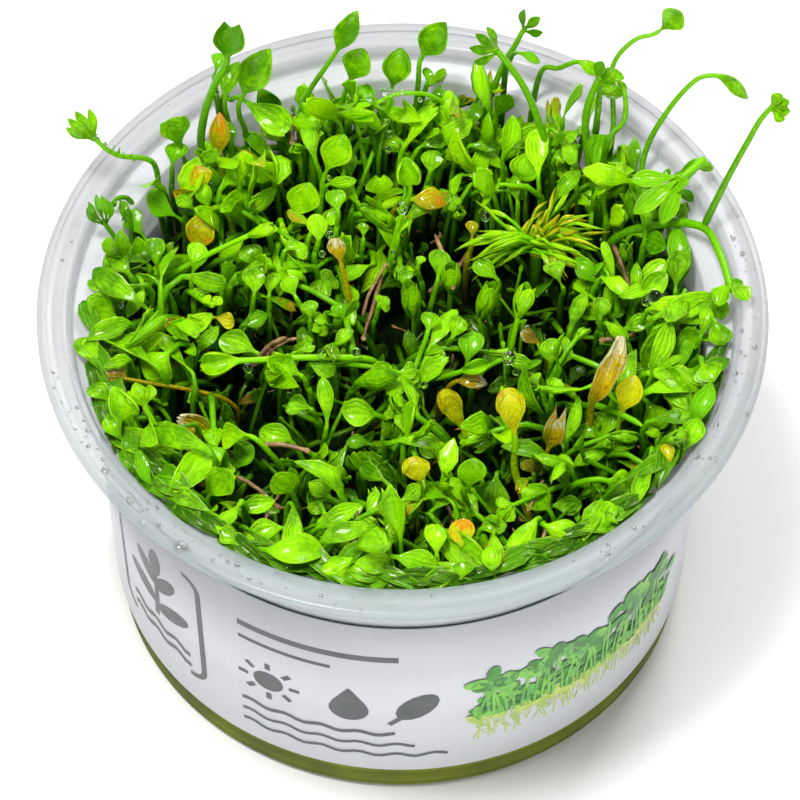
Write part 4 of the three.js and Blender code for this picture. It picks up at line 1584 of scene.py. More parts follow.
TALL_FRONDS = (
    TallFrond("frond_outreaching", Head.CLAW, 0.72, Tint.GREEN, count=4, stalk=0.4, shade=0.3, route=(
        (-32.5, 20, 51), (-32.5, 21, 58), (-34, 20.5, 61), (-37.5, 19.5, 63), (-40.3, 19.8, 65.6),
        (-43.7, 21.7, 69.4))),
    TallFrond("frond_tall_dark", Head.FUNNEL, 2.2, Tint.GREEN, stalk=0.6, shade=0.1, variation=0.0, route=(
        (-23.5, 25, 46), (-26.8, 27.5, 53), (-26.5, 28.5, 60), (-24.8, 29.5, 66), (-23.5, 30.5, 69),
        (-22.5, 32.5, 75.5))),
    TallFrond("frond_back_left_leaf", Head.OVAL, 2.4, Tint.GREEN, stalk=0.4, shade=0.35, route=(
        (-21, 31, 52), (-22, 31, 57.5), (-21.5, 31, 61), (-18, 33, 69))),
    TallFrond("frond_yellow_lean", Head.OVAL, 1.5, Tint.YELLOW, shade=0.25, decay=0.2, route=(
        (-22.8, 22.5, 44), (-24, 24.8, 51), (-24.5, 25.8, 54.5), (-24.3, 28.3, 61))),
    TallFrond("frond_ragged", Head.OVAL, 1.7, Tint.GREEN, shade=0.35, stalk=0.5, route=(
        (-16.5, 31.5, 50), (-17, 32.3, 54), (-19, 33.4, 60))),
    TallFrond("frond_square", Head.SQUARE, 2.3, Tint.GREEN, shade=0.3, route=(
        (-28, 24.5, 49), (-29, 25.6, 53.5), (-31, 27.2, 61))),
    TallFrond("frond_yellow_pair", Head.PAIR, 1.8, Tint.YELLOW, shade=0.5, decay=0.16,
              facing=(-0.3, -0.7, 0.6), route=(
        (-25.5, 18.5, 46), (-26.2, 20.6, 53.5), (-30.4, 21.6, 57))),
    TallFrond("frond_yellow_fold", Head.OVAL, 2.2, Tint.YELLOW, shade=0.5, decay=0.1, route=(
        (-22, 17, 43), (-23, 18.4, 51), (-25.2, 17.6, 54), (-27.8, 14, 50.5))),
    TallFrond("frond_four_finger", Head.HAND, 0.62, Tint.DEEP, stalk=0.4, shade=0.7, route=(
        (-36, 9.5, 49), (-37.5, 11.5, 54.5), (-39, 12.3, 57.6), (-40.5, 14.2, 61.6))),
    TallFrond("frond_three_lobe", Head.HAND, 1.4, Tint.GREEN, count=3, shade=0.6, stalk=0.4, route=(
        (-37, 7, 47), (-36.4, 8.6, 55), (-36.5, 9.6, 60.5))),
    TallFrond("frond_bright_rod", Head.CROWN, 1.4, Tint.LIME, shade=0.7, stalk=0.42, route=(
        (-33, 9, 48), (-27, 10, 53), (-20.3, 11.5, 56.5), (-16.5, 11.5, 58.5))),
    TallFrond("frond_pointed_back", Head.OVAL, 1.7, Tint.GREEN, shade=0.3, stalk=0.4, route=(
        (-14, 32.5, 49), (-13.6, 33.8, 56), (-10.2, 35, 63), (-9.2, 35.4, 65), (-6.4, 37, 72))),
    TallFrond("frond_round_back", Head.SPOON, 2.2, Tint.GREEN, shade=0.35, stalk=0.4, route=(
        (-8.8, 32.5, 48), (-8.5, 34.2, 54.5), (-7.6, 35, 58.5), (-5.2, 36, 65))),
    TallFrond("frond_oval_back", Head.SPOON, 2.1, Tint.GREEN, shade=0.4, stalk=0.4, route=(
        (-2.6, 30.5, 48), (-2.3, 32.8, 55.5), (-1.8, 33.8, 58.5), (-0.5, 35.6, 66))),
    TallFrond("frond_tip_back", Head.OVAL, 2.2, Tint.GREEN, shade=0.4, stalk=0.4, route=(
        (1.5, 34, 51), (1.8, 36.2, 60), (2.2, 36.8, 62.5), (5.3, 37.6, 69))),
    TallFrond("frond_arch_back", Head.FAN, 0.9, Tint.LIME, stalk=0.34, shade=0.35, count=3, route=(
        (5.9, 33, 47), (5.8, 33.6, 55), (2.8, 32.8, 59.5), (-1.3, 31.6, 61), (-4.4, 30.6, 59.5),
        (-6.2, 30, 55.5))),
    TallFrond("frond_spiral", Head.SPOON, 2.3, Tint.LIME, shade=0.5, stalk=0.42, route=(
        (-11.2, 21.5, 45), (-10.9, 22.5, 51.5), (-10.5, 23, 54.5), (-7.9, 24.6, 61.5))),
    TallFrond("frond_lean_left", Head.SPOON, 2.4, Tint.LIME, shade=0.55, stalk=0.42, route=(
        (-18, 15, 43), (-15.8, 16.8, 49), (-14.5, 17.5, 51.5), (-12.6, 19.4, 58))),
    TallFrond("frond_heart", Head.NOTCHED, 2.0, Tint.LIME, shade=0.5, stalk=0.36, route=(
        (-3.4, 18, 42), (-3.2, 19.5, 52.5), (-3.7, 20.8, 58))),
    TallFrond("frond_ruffled_club", Head.CLUB, 1.7, Tint.LIME, shade=0.55, stalk=0.4, route=(
        (-1.9, 13, 43), (-1.5, 14.6, 50), (0.1, 16.4, 57), (0.8, 16.8, 60), (0.5, 18, 65.5))),
    TallFrond("frond_four_leaflet", Head.FAN, 0.75, Tint.GREEN, stalk=0.55, shade=0.3, route=(
        (19.3, 26, 47), (19.3, 26.6, 54), (16.2, 29.5, 64), (12.1, 31.4, 70.5), (8.1, 31, 73.5))),
    TallFrond("frond_back_spray", Head.FAN, 0.75, Tint.GREEN, stalk=0.45, shade=0.25, count=3, route=(
        (10.5, 34.5, 51), (12.5, 36.3, 60), (14.1, 37, 64), (15.6, 38, 67), (17.8, 38, 70))),
    TallFrond("frond_thick_stem", Head.FAN, 1.1, Tint.GREEN, stalk=0.58, shade=0.25, count=3, route=(
        (25.3, 24, 44), (24.7, 25.6, 52), (23.8, 28, 61), (25.2, 29.5, 67), (28.2, 30, 69))),
    TallFrond("frond_spoon_far", Head.SPOON, 1.9, Tint.GREEN, shade=0.35, stalk=0.38, route=(
        (27, 25.5, 52), (27.6, 29, 60), (27.2, 32.8, 66), (30.2, 34.6, 69.5), (33, 35, 70.5),
        (36, 36.3, 73.5))),
    TallFrond("frond_arch_right", Head.STRAP, 1.0, Tint.GREEN, shade=0.35, stalk=0.42, route=(
        (31, 20.5, 52), (32, 25.8, 58), (36.7, 29, 66), (40.6, 29.8, 68), (45.2, 29, 64.5))),
    TallFrond("frond_far_right", Head.FAN, 0.95, Tint.GREEN, shade=0.35, springs=True, stalk=0.46, route=(
        (39.2, 12.7, 57.7), (40.2, 13.6, 60.4), (42.2, 15.8, 64.5), (45.4, 18.5, 71.5), (47.2, 19.5, 74.5),
        (50.0, 19, 76))),
    TallFrond("runner_right", Head.PAIR, 1.5, Tint.GREEN, stalk=0.62, shade=0.5, route=(
        (27.5, 16, 50), (33.5, 15.5, 54.5), (39, 12.8, 57.8), (41, 8.5, 58.6), (42.3, 3, 58.8),
        (42.8, -1.5, 57.8))),
    TallFrond("frond_big_leaf_right", Head.CLAW, 1.4, Tint.LIME, stalk=0.56, shade=0.0, count=3, route=(
        (32.5, 17, 50), (35.6, 18.6, 58), (39.4, 20.6, 62.2), (36.6, 18.6, 61.2), (29.6, 14.2, 58.4))),
    TallFrond("frond_round_right", Head.OVAL, 2.2, Tint.GREEN, shade=0.4, route=(
        (36.6, -4, 48), (38.4, -6, 54.5), (38.6, -9.3, 57.8), (40, -12.2, 58))),
    TallFrond("frond_big_pointed", Head.OVAL, 2.3, Tint.GREEN, shade=0.6, route=(
        (31, -6.2, 46), (31.5, -5.5, 49), (34.8, -2.8, 57))),
    TallFrond("frond_tan_blade", Head.SCROLL, 1.6, Tint.TAN, shade=0.95, stalk=0.6, variation=0.0, route=(
        (24.6, -13, 46), (24.5, -12.6, 52), (25.6, -10, 65))),
    TallFrond("frond_tan_side", Head.SPOON, 1.9, Tint.YELLOW, shade=0.95, stalk=0.44, variation=0.0, route=(
        (28, -15.5, 46), (28.2, -14.2, 52.5), (30, -12.2, 59.5))),
    TallFrond("frond_two_prong", Head.PRONG, 1.4, Tint.TAN, shade=0.75, decay=0.12, stalk=0.4,
              variation=0.0, route=(
        (16.8, -19.5, 45), (19, -18, 51), (20.5, -16.4, 59.5))),
    TallFrond("frond_drooping", Head.HOOD, 2.3, Tint.GREEN, shade=0.7, route=(
        (20.5, -23.5, 47), (22.8, -24.6, 53), (26.3, -25, 54), (29.8, -24, 50))),
    TallFrond("frond_cup_left", Head.CROWN, 1.9, Tint.GREEN, shade=0.65, stalk=0.42, route=(
        (1.4, 3.5, 43), (1.5, 3.8, 48.5), (0.8, 5.2, 55.5))),
    TallFrond("frond_cup_middle", Head.CROWN, 1.9, Tint.GREEN, shade=0.75, stalk=0.42, route=(
        (6.3, 8, 43), (6.3, 8.2, 48.5), (6.2, 9.2, 54))),
    TallFrond("frond_cup_right", Head.CROWN, 1.9, Tint.GREEN, shade=0.8, stalk=0.46, count=5, route=(
        (10.6, 2.6, 43), (10.2, 4, 48.5), (11.8, 5.4, 55))),
    TallFrond("frond_cup_tall", Head.CROWN, 1.9, Tint.LIME, shade=0.5, stalk=0.42, route=(
        (13.6, -2.6, 43), (14.2, -3, 51.5), (14.9, -2, 57.5), (16.4, 0.2, 62))),
    TallFrond("frond_yellow_tube", Head.POD, 1.3, Tint.TAN, shade=0.9, route=(
        (-6, 2.5, 42), (-6.9, 5, 51), (-8.1, 6.8, 56.5), (-8.7, 8.2, 60.5))),
    TallFrond("frond_rod_front", Head.BUD, 1.7, Tint.LIME, shade=0.6, stalk=0.5, route=(
        (-3.2, -3.5, 49), (-9.3, -4.8, 52), (-20.8, -6.8, 54), (-26, -7.3, 53))),
    TallFrond("frond_yellow_bud", Head.POD, 1.6, Tint.YELLOW, shade=0.7, stalk=0.6, variation=0.0, route=(
        (8.2, -15.3, 45), (8.2, -15.4, 50), (5.3, -13.7, 57.8))),
    TallFrond("frond_tall_club", Head.POD, 2.0, Tint.YELLOW, shade=0.8, stalk=0.56, variation=0.0, route=(
        (16.6, -24.5, 45), (14.6, -21.4, 51), (14.5, -20.2, 56), (13.6, -18, 64.5))),
    TallFrond("frond_yellow_round", Head.POD, 1.9, Tint.YELLOW, shade=0.8, stalk=0.46, route=(
        (2.5, -26, 46.5), (2.5, -25.8, 53.5), (1.6, -24.6, 58.5))),
    TallFrond("frond_green_round", Head.DISC, 2.0, Tint.GREEN, shade=0.8, route=(
        (8.6, -26, 46.5), (8.7, -25.8, 53.5), (9, -24.7, 58.5))),
    TallFrond("frond_mid_leaf", Head.OVAL, 2.0, Tint.GREEN, shade=0.7, route=(
        (-0.5, -11.5, 45), (-2.8, -12.2, 49.5), (-8, -12.3, 50.5))),
    TallFrond("frond_ribbed", Head.HOOD, 2.7, Tint.GREEN, shade=0.75, stalk=0.42, route=(
        (-26.5, -1.5, 47), (-28.5, -3.5, 53), (-30.2, -6, 54.5), (-33.2, -8.8, 52.5))),
    TallFrond("frond_star_club", Head.CLAW, 1.1, Tint.LIME, shade=0.6, count=3, stalk=0.46, route=(
        (-28.8, -22.4, 45), (-31, -18.6, 53), (-32.8, -16.4, 57), (-34, -14.6, 60.5))),
    TallFrond("frond_orange_claw", Head.CLAW, 0.65, Tint.TAN, shade=0.4, count=4, stalk=0.32, route=(
        (-21.5, -8.8, 46), (-25.2, -9.3, 50), (-35.4, -11, 55.5), (-38.3, -10.4, 57))),
    TallFrond("frond_tan_fringe", Head.FRINGE, 1.6, Tint.TAN, shade=0.8, stalk=0.6, variation=0.0, route=(
        (-22.2, -15, 44), (-24.6, -15.6, 49.6), (-28.8, -15.9, 54))),
    TallFrond("frond_left_bud", Head.BUD, 1.8, Tint.LIME, shade=0.5, stalk=0.42, route=(
        (-32.4, -17.6, 48), (-34.6, -16.6, 54), (-36.6, -14.6, 59))),
    TallFrond("frond_arched_leaf", Head.SPOON, 1.9, Tint.LIME, shade=0.6, stalk=0.42, route=(
        (-15, -18.8, 45.5), (-17, -19, 51), (-19.2, -18.4, 53.5), (-23, -17, 52))),
    TallFrond("frond_front_disc", Head.DISC, 2.1, Tint.GREEN, shade=0.9, route=(
        (-13, -25, 45.5), (-14, -24.8, 50), (-15.6, -24.2, 54))),
    TallFrond("frond_front_left", Head.RUFFLE, 2.2, Tint.GREEN, shade=0.75, route=(
        (-23.6, -27.2, 45.5), (-24.8, -27, 51.5), (-21.8, -26.4, 58))),
)


@dataclass(frozen=True)
class Sprig:
    """A leaf placed by the pixels of its base and its tip, at the height of its base."""

    head: Head
    width: float
    base: Pixel
    tip: Pixel
    height: float = 51.0
    shade: float = 0.65
    decay: float = 0.0
    root: Pixel | None = None
    bends: tuple[Pixel, ...] = ()
    stalk: float = 0.44
    lean: float = 0.0

    def frond(self, cushion: Cushion, chance: random.Random) -> Frond:
        """Finds the frond's points.

        Args:
            cushion: The cushion that it grows from.
            chance: Source of small variation.

        Returns:
            The frond.
        """
        base = cushion.inside(VIEW.at_height(self.base, self.height), 0.8, lift=True)
        tip = VIEW.beside(base, self.base, self.tip) + TO_VIEWER * self.lean
        tip = cushion.inside(tip, 0.5 + 0.3 * self.width, lift=True)
        if self.root:
            foot = VIEW.at_height(self.root, base.z - 5)
        else:
            way = base - tip
            foot = base + way * 0.35 + Vector((chance.uniform(-1, 1), chance.uniform(-1, 1), -4.0))
        foot = cushion.inside(foot, 1.0)
        ground = cushion.foot(foot, 5.0)
        middle = [foot.lerp(base, 0.5) - TO_VIEWER * 0.3]
        if self.bends:
            count = len(self.bends) + 1
            middle = [VIEW.at_height(pixel, blend_between(foot.z, base.z, (number + 1) / count))
                      for number, pixel in enumerate(self.bends)]
        sway = Vector((chance.uniform(-0.5, 0.5), chance.uniform(-0.4, 0.4), 1.0))
        facing = (TO_VIEWER + sway * 0.45).normalized()
        return Frond(self.head, self.width, (ground, foot, *middle, base, tip), self.stalk, self.shade,
                     self.decay, facing, variation=1.0)


SPRIGS = {
    Tint.GREEN: (
        Sprig(Head.OVAL, 1.3, (114, 296), (90, 277), 53),
        Sprig(Head.SPOON, 2.2, (118, 320), (82, 304), 52),
        Sprig(Head.SPOON, 1.6, (112, 402), (91, 383), 50, 0.4),
        Sprig(Head.OVAL, 1.1, (197, 353), (218, 326), 50),
        Sprig(Head.SPOON, 2.1, (258, 354), (223, 332), 50),
        Sprig(Head.SPOON, 1.8, (254, 296), (254, 267), 52),
        Sprig(Head.DISC, 1.0, (230, 288), (229, 273), 52),
        Sprig(Head.SPOON, 1.4, (250, 266), (250, 248), 52, 0.4),
        Sprig(Head.SPOON, 1.6, (297, 299), (285, 277), 51, root=(321, 342)),
        Sprig(Head.SPOON, 1.9, (127, 444), (105, 417), 51, 0.4),
        Sprig(Head.SQUARE, 1.5, (203, 494), (232, 465), 50, root=(198, 500)),
        Sprig(Head.SPOON, 1.8, (293, 444), (264, 422), 49),
        Sprig(Head.OVAL, 1.2, (240, 504), (281, 506), 51, 0.9),
        Sprig(Head.SPOON, 2.3, (213, 517), (172, 503), 52),
        Sprig(Head.SPOON, 1.6, (160, 272), (150, 240), 52, 0.4),
        Sprig(Head.OVAL, 1.6, (225, 102), (232, 61), 58, 0.35, decay=0.18),
        Sprig(Head.OVAL, 1.2, (232, 146), (230, 120), 55, 0.4),
        Sprig(Head.DISC, 2.1, (158, 262), (150, 237), 51, 0.4),
        Sprig(Head.DISC, 1.9, (254, 267), (248, 245), 52, 0.3),
        Sprig(Head.SPOON, 1.6, (126, 276), (108, 260), 52, 0.3),
        Sprig(Head.RUFFLE, 2.3, (241, 98), (289, 131), 60, 0.5),
        Sprig(Head.OVAL, 1.3, (418, 149), (446, 138), 54, 0.4),
        Sprig(Head.DISC, 1.8, (430, 172), (432, 150), 53, 0.4),
        Sprig(Head.OVAL, 1.2, (468, 126), (483, 104), 55, 0.3),
        Sprig(Head.SPOON, 1.1, (461, 175), (490, 181), 53, 0.6),
        Sprig(Head.OVAL, 1.2, (470, 146), (500, 152), 54, 0.5),
        Sprig(Head.OVAL, 1.0, (518, 204), (510, 176), 52, 0.5),
        Sprig(Head.CLAW, 0.8, (449, 194), (452, 214), 53, 0.5),
        Sprig(Head.SPOON, 0.9, (363, 240), (364, 222), 50, 0.7),
        Sprig(Head.SPOON, 0.9, (284, 252), (297, 240), 53, 0.6),
        Sprig(Head.OVAL, 1.2, (553, 151), (576, 130), 55, 0.6),
        Sprig(Head.STRAP, 0.9, (555, 158), (581, 145), 55, 0.4),
        Sprig(Head.STRAP, 1.0, (634, 171), (633, 135), 55, 0.3),
        Sprig(Head.OVAL, 1.3, (554, 203), (581, 170), 53, 0.5),
        Sprig(Head.SPOON, 1.6, (630, 236), (658, 232), 52, 0.4),
        Sprig(Head.SPOON, 2.0, (676, 292), (673, 250), 52, 0.45),
        Sprig(Head.OVAL, 1.1, (578, 61), (597, 76), 63, 0.5, root=(538, 77)),
        Sprig(Head.OVAL, 1.0, (602, 77), (625, 81), 65, 0.6, root=(597, 120)),
        Sprig(Head.OVAL, 1.1, (600, 93), (623, 98), 64, 0.4, root=(597, 125)),
        Sprig(Head.STRAP, 0.6, (625, 94), (618, 80), 64, 0.5, root=(604, 150), bends=((624, 122),)),
        Sprig(Head.HOOD, 0.9, (695, 160), (711, 173), 60, 0.4, root=(670, 186)),
        Sprig(Head.OVAL, 1.5, (715, 290), (722, 320), 57.5, 0.4),
        Sprig(Head.SPOON, 1.8, (714, 320), (737, 348), 57.2, 0.4, root=(718, 300)),
        Sprig(Head.BUD, 1.5, (692, 370), (716, 387), 55.0, 0.5),
        Sprig(Head.OVAL, 1.2, (700, 338), (712, 306), 55.0, 0.5),
        Sprig(Head.SQUARE, 1.8, (563, 288), (553, 262), 51, 0.6, root=(561, 305)),
        Sprig(Head.OVAL, 0.9, (634, 295), (636, 262), 52, 0.6),
        Sprig(Head.OVAL, 1.8, (637, 302), (667, 272), 52, 0.75),
        Sprig(Head.BUD, 1.3, (600, 318), (605, 298), 53, 0.6),
        Sprig(Head.OVAL, 1.4, (624, 330), (654, 318), 51, 0.5),
        Sprig(Head.HOOD, 1.1, (606, 323), (626, 342), 52, 0.7),
        Sprig(Head.DISC, 1.7, (551, 362), (549, 338), 51, 0.6),
        Sprig(Head.OVAL, 1.1, (620, 378), (645, 363), 50, 0.6),
        Sprig(Head.SPOON, 1.8, (675, 352), (700, 331), 51, 0.5),
        Sprig(Head.OVAL, 1.6, (671, 411), (676, 377), 50, 0.6),
        Sprig(Head.HOOD, 2.1, (646, 402), (662, 430), 52, 0.55, root=(617, 382)),
        Sprig(Head.RUFFLE, 1.4, (613, 446), (634, 442), 51, 0.5),
        Sprig(Head.OVAL, 1.8, (686, 452), (697, 418), 50, 0.5),
        Sprig(Head.STRAP, 1.0, (567, 440), (588, 400), 50, 0.7, root=(568, 484)),
        Sprig(Head.SPOON, 1.5, (566, 488), (561, 454), 50, 0.5),
        Sprig(Head.OVAL, 1.3, (574, 467), (603, 448), 49, 0.6),
        Sprig(Head.RUFFLE, 1.3, (551, 396), (556, 378), 51, 0.6),
        Sprig(Head.SPOON, 1.2, (540, 388), (532, 375), 51, 0.5),
        Sprig(Head.BUD, 2.0, (549, 510), (526, 485), 50, 0.85),
        Sprig(Head.SPOON, 1.2, (648, 480), (644, 460), 49, 0.4),
        Sprig(Head.OVAL, 1.4, (600, 512), (634, 516), 50, 0.4),
        Sprig(Head.OVAL, 1.5, (552, 506), (583, 508), 50, 0.4),
        Sprig(Head.OVAL, 1.7, (646, 388), (676, 322), 52, 0.7),
        Sprig(Head.OVAL, 1.4, (617, 404), (642, 352), 50, 0.4),
        Sprig(Head.SPOON, 1.7, (668, 440), (694, 402), 52, 0.5),
        Sprig(Head.OVAL, 1.6, (652, 350), (690, 300), 51, 0.6),
        Sprig(Head.OVAL, 1.5, (600, 440), (622, 402), 49, 0.5),
        Sprig(Head.FAN, 0.8, (379, 306), (391, 296), 51, 0.6),
        Sprig(Head.RUFFLE, 1.5, (452, 338), (462, 318), 52, 0.7, root=(440, 356)),
        Sprig(Head.RUFFLE, 1.3, (426, 360), (442, 348), 50, 0.6),
        Sprig(Head.SPOON, 1.8, (438, 280), (444, 250), 51, 0.55),
        Sprig(Head.SPOON, 0.8, (418, 268), (422, 256), 51, 0.6),
        Sprig(Head.NOTCHED, 1.4, (294, 354), (316, 345), 52, 0.8),
        Sprig(Head.OVAL, 1.4, (310, 364), (334, 377), 51, 0.7),
        Sprig(Head.OVAL, 1.5, (365, 381), (391, 364), 51, 0.65, root=(347, 398)),
        Sprig(Head.SPOON, 1.5, (411, 386), (386, 394), 51, 0.6),
        Sprig(Head.BUD, 1.4, (460, 372), (489, 362), 53, 0.6, root=(412, 385)),
        Sprig(Head.CROWN, 1.2, (404, 418), (419, 399), 50, 0.7),
        Sprig(Head.CLAW, 1.0, (396, 418), (388, 402), 49, 0.7),
        Sprig(Head.SPOON, 1.7, (413, 438), (438, 453), 49, 0.7),
        Sprig(Head.NOTCHED, 1.4, (505, 440), (472, 446), 49, 0.6, root=(514, 456)),
        Sprig(Head.SPOON, 2.0, (497, 474), (492, 514), 50, 0.35, decay=0.3),
        Sprig(Head.SPOON, 1.5, (431, 512), (465, 478), 51, 0.85),
        Sprig(Head.SPOON, 1.4, (364, 521), (384, 497), 50, 0.7),
        Sprig(Head.OVAL, 1.2, (330, 522), (361, 503), 51, 0.85),
        Sprig(Head.STRAP, 0.6, (336, 464), (349, 482), 49, 0.9),
        Sprig(Head.STRAP, 0.8, (319, 508), (347, 443), 49, 0.6),
        Sprig(Head.OVAL, 1.2, (269, 296), (270, 272), 51, 0.7),
        Sprig(Head.SPOON, 1.4, (310, 322), (307, 300), 50, 0.7),
        Sprig(Head.OVAL, 1.1, (335, 346), (352, 328), 50, 0.6),
        Sprig(Head.OVAL, 1.9, (285, 528), (245, 530), 54.6, 0.8, root=(292, 530)),
        Sprig(Head.OVAL, 2.4, (262, 550), (326, 558), 55.6, 0.8),
        Sprig(Head.RUFFLE, 1.8, (352, 562), (388, 570), 55.6, 0.6),
        Sprig(Head.STRAP, 1.4, (318, 528), (362, 505), 54.6, 0.75, root=(300, 545)),
        Sprig(Head.STRAP, 1.6, (322, 542), (372, 515), 55, 0.5, root=(305, 552)),
        Sprig(Head.OVAL, 1.4, (232, 512), (276, 502), 52, 0.75),
        Sprig(Head.SPOON, 1.7, (462, 580), (462, 562), 55.4, 0.35, decay=0.2),
        Sprig(Head.DISC, 1.5, (492, 570), (492, 546), 55.4, 0.8),
        Sprig(Head.SPOON, 1.8, (598, 528), (606, 500), 51, 0.7),
        Sprig(Head.OVAL, 1.3, (612, 526), (632, 516), 54.8, 0.6),
        Sprig(Head.OVAL, 1.4, (330, 498), (310, 480), 50, 0.6),
        Sprig(Head.SPOON, 1.5, (375, 548), (360, 530), 51, 0.5),
        Sprig(Head.OVAL, 1.6, (480, 530), (505, 520), 51, 0.5),
        Sprig(Head.SPOON, 1.5, (240, 545), (218, 535), 52, 0.5),
    ),
    Tint.DEEP: (
        Sprig(Head.OVAL, 1.4, (243, 326), (269, 316), 48),
        Sprig(Head.OVAL, 1.7, (168, 451), (132, 449), 49, 0.7),
        Sprig(Head.STRAP, 1.1, (152, 485), (133, 451), 50, 0.8),
        Sprig(Head.SPOON, 1.9, (232, 470), (256, 448), 47, 0.7),
        Sprig(Head.SPOON, 1.2, (214, 76), (221, 53), 62, 0.8),
        Sprig(Head.SPOON, 1.8, (172, 168), (176, 142), 54, 0.7),
        Sprig(Head.SPOON, 2.3, (181, 220), (145, 202), 52, 0.9),
        Sprig(Head.SPOON, 1.9, (147, 240), (124, 213), 52, 0.8),
        Sprig(Head.STRAP, 0.9, (130, 222), (117, 202), 54, 0.7),
        Sprig(Head.STRAP, 0.5, (117, 199), (113, 208), 56, 0.6, root=(130, 232),
              bends=((135, 212), (129, 199))),
        Sprig(Head.RUFFLE, 1.6, (368, 116), (358, 86), 56, 0.8),
        Sprig(Head.SPOON, 0.9, (427, 84), (431, 68), 58, 0.9),
        Sprig(Head.STRAP, 0.9, (437, 106), (436, 84), 56, 0.7),
        Sprig(Head.OVAL, 1.5, (411, 119), (440, 116), 55, 0.8),
        Sprig(Head.SPOON, 1.4, (350, 180), (352, 150), 52, 0.5),
        Sprig(Head.SQUARE, 2.0, (594, 180), (596, 134), 55, 0.8),
        Sprig(Head.SPOON, 1.4, (604, 163), (626, 163), 55, 0.7),
        Sprig(Head.SPOON, 1.2, (658, 177), (685, 170), 55, 0.7),
        Sprig(Head.OVAL, 1.0, (688, 186), (698, 200), 55, 0.6),
        Sprig(Head.SPOON, 2.0, (636, 240), (668, 240), 50, 0.6),
        Sprig(Head.OVAL, 0.8, (515, 53), (541, 59), 66, 0.9, root=(505, 70)),
        Sprig(Head.OVAL, 1.1, (721, 292), (744, 284), 57.5, 0.9),
        Sprig(Head.OVAL, 1.6, (596, 282), (571, 262), 51, 0.9),
        Sprig(Head.OVAL, 1.6, (665, 370), (694, 352), 50, 0.7),
        Sprig(Head.SPOON, 1.3, (622, 472), (638, 494), 49, 0.8),
        Sprig(Head.OVAL, 1.5, (660, 392), (703, 326), 50, 0.9),
        Sprig(Head.OVAL, 1.9, (678, 290), (690, 226), 51, 0.95),
        Sprig(Head.OVAL, 1.6, (690, 430), (712, 382), 52, 0.9),
        Sprig(Head.SPOON, 1.5, (585, 292), (612, 262), 49, 0.8),
        Sprig(Head.SPOON, 2.0, (467, 366), (469, 331), 49, 0.95),
        Sprig(Head.SPOON, 1.3, (404, 292), (402, 270), 49, 0.8),
        Sprig(Head.OVAL, 1.2, (372, 446), (346, 439), 47, 0.7),
        Sprig(Head.SPOON, 1.5, (341, 326), (340, 302), 49, 0.7),
    ),
    Tint.LIME: (
        Sprig(Head.SPOON, 1.6, (118, 352), (88, 356), 51, decay=0.25),
        Sprig(Head.STRAP, 1.0, (143, 288), (131, 320), 54, root=(127, 260)),
        Sprig(Head.OVAL, 1.5, (172, 340), (212, 312), 51, root=(128, 364), stalk=0.6),
        Sprig(Head.STRAP, 1.0, (181, 476), (199, 452), 50, root=(188, 497), shade=0.4),
        Sprig(Head.PAIR, 0.9, (213, 306), (214, 289), 54, root=(185, 292)),
        Sprig(Head.STRAP, 1.2, (208, 206), (203, 180), 53, 0.4),
        Sprig(Head.SPOON, 1.8, (192, 278), (205, 244), 51, 0.3),
        Sprig(Head.SPOON, 2.3, (531, 148), (516, 178), 55, 0.3),
        Sprig(Head.SPOON, 1.3, (398, 238), (405, 215), 52, 0.4, decay=0.3),
        Sprig(Head.RUFFLE, 1.6, (338, 212), (335, 190), 54, 0.3),
        Sprig(Head.DISC, 1.6, (318, 240), (316, 213), 54, 0.4),
        Sprig(Head.SPOON, 1.6, (604, 196), (607, 170), 53, 0.3),
        Sprig(Head.RUFFLE, 0.8, (614, 284), (610, 240), 53, 0.3),
        Sprig(Head.SPOON, 1.7, (634, 290), (668, 262), 52, 0.4),
        Sprig(Head.SPOON, 1.1, (345, 280), (358, 302), 52, 0.3, decay=0.25),
        Sprig(Head.RUFFLE, 1.4, (428, 332), (432, 313), 52, 0.3, root=(411, 382)),
        Sprig(Head.SPOON, 1.5, (498, 280), (476, 260), 50, 0.1, decay=0.25),
        Sprig(Head.RUFFLE, 1.8, (302, 376), (278, 366), 52, 0.3),
        Sprig(Head.SPOON, 1.3, (326, 428), (331, 378), 49, 0.3, root=(322, 455)),
        Sprig(Head.RUFFLE, 1.7, (312, 410), (290, 400), 50, 0.25),
        Sprig(Head.HOOD, 1.9, (352, 560), (318, 580), 55.8, 0.4, root=(372, 556)),
        Sprig(Head.OVAL, 1.9, (392, 556), (438, 566), 55.8, 0.45, root=(362, 558)),
        Sprig(Head.RUFFLE, 1.6, (437, 556), (434, 524), 55.4, 0.45),
        Sprig(Head.HOOD, 1.9, (536, 520), (510, 566), 55.4, 0.5, root=(546, 528)),
        Sprig(Head.HOOD, 1.9, (546, 526), (580, 538), 55.4, 0.5, root=(536, 522)),
        Sprig(Head.DISC, 1.5, (389, 545), (398, 520), 52, 0.35),
    ),
    Tint.YELLOW: (
        Sprig(Head.SPOON, 1.3, (212, 318), (235, 320), 51),
        Sprig(Head.OVAL, 1.9, (410, 200), (446, 205), 53, 0.45, decay=0.2),
        Sprig(Head.SPOON, 1.0, (472, 240), (473, 221), 51, 0.2, decay=0.05),
        Sprig(Head.SPOON, 1.1, (666, 468), (668, 443), 50, 0.3),
        Sprig(Head.SPOON, 1.1, (534, 474), (524, 460), 49, 0.4),
        Sprig(Head.DISC, 1.9, (462, 546), (461, 518), 55.5, 0.85, decay=0.2),
    ),
    Tint.TAN: (
        Sprig(Head.OVAL, 1.2, (541, 345), (518, 336), 50, 0.2),
        Sprig(Head.OVAL, 1.2, (456, 381), (488, 382), 51, 0.2, decay=0.1),
    ),
}


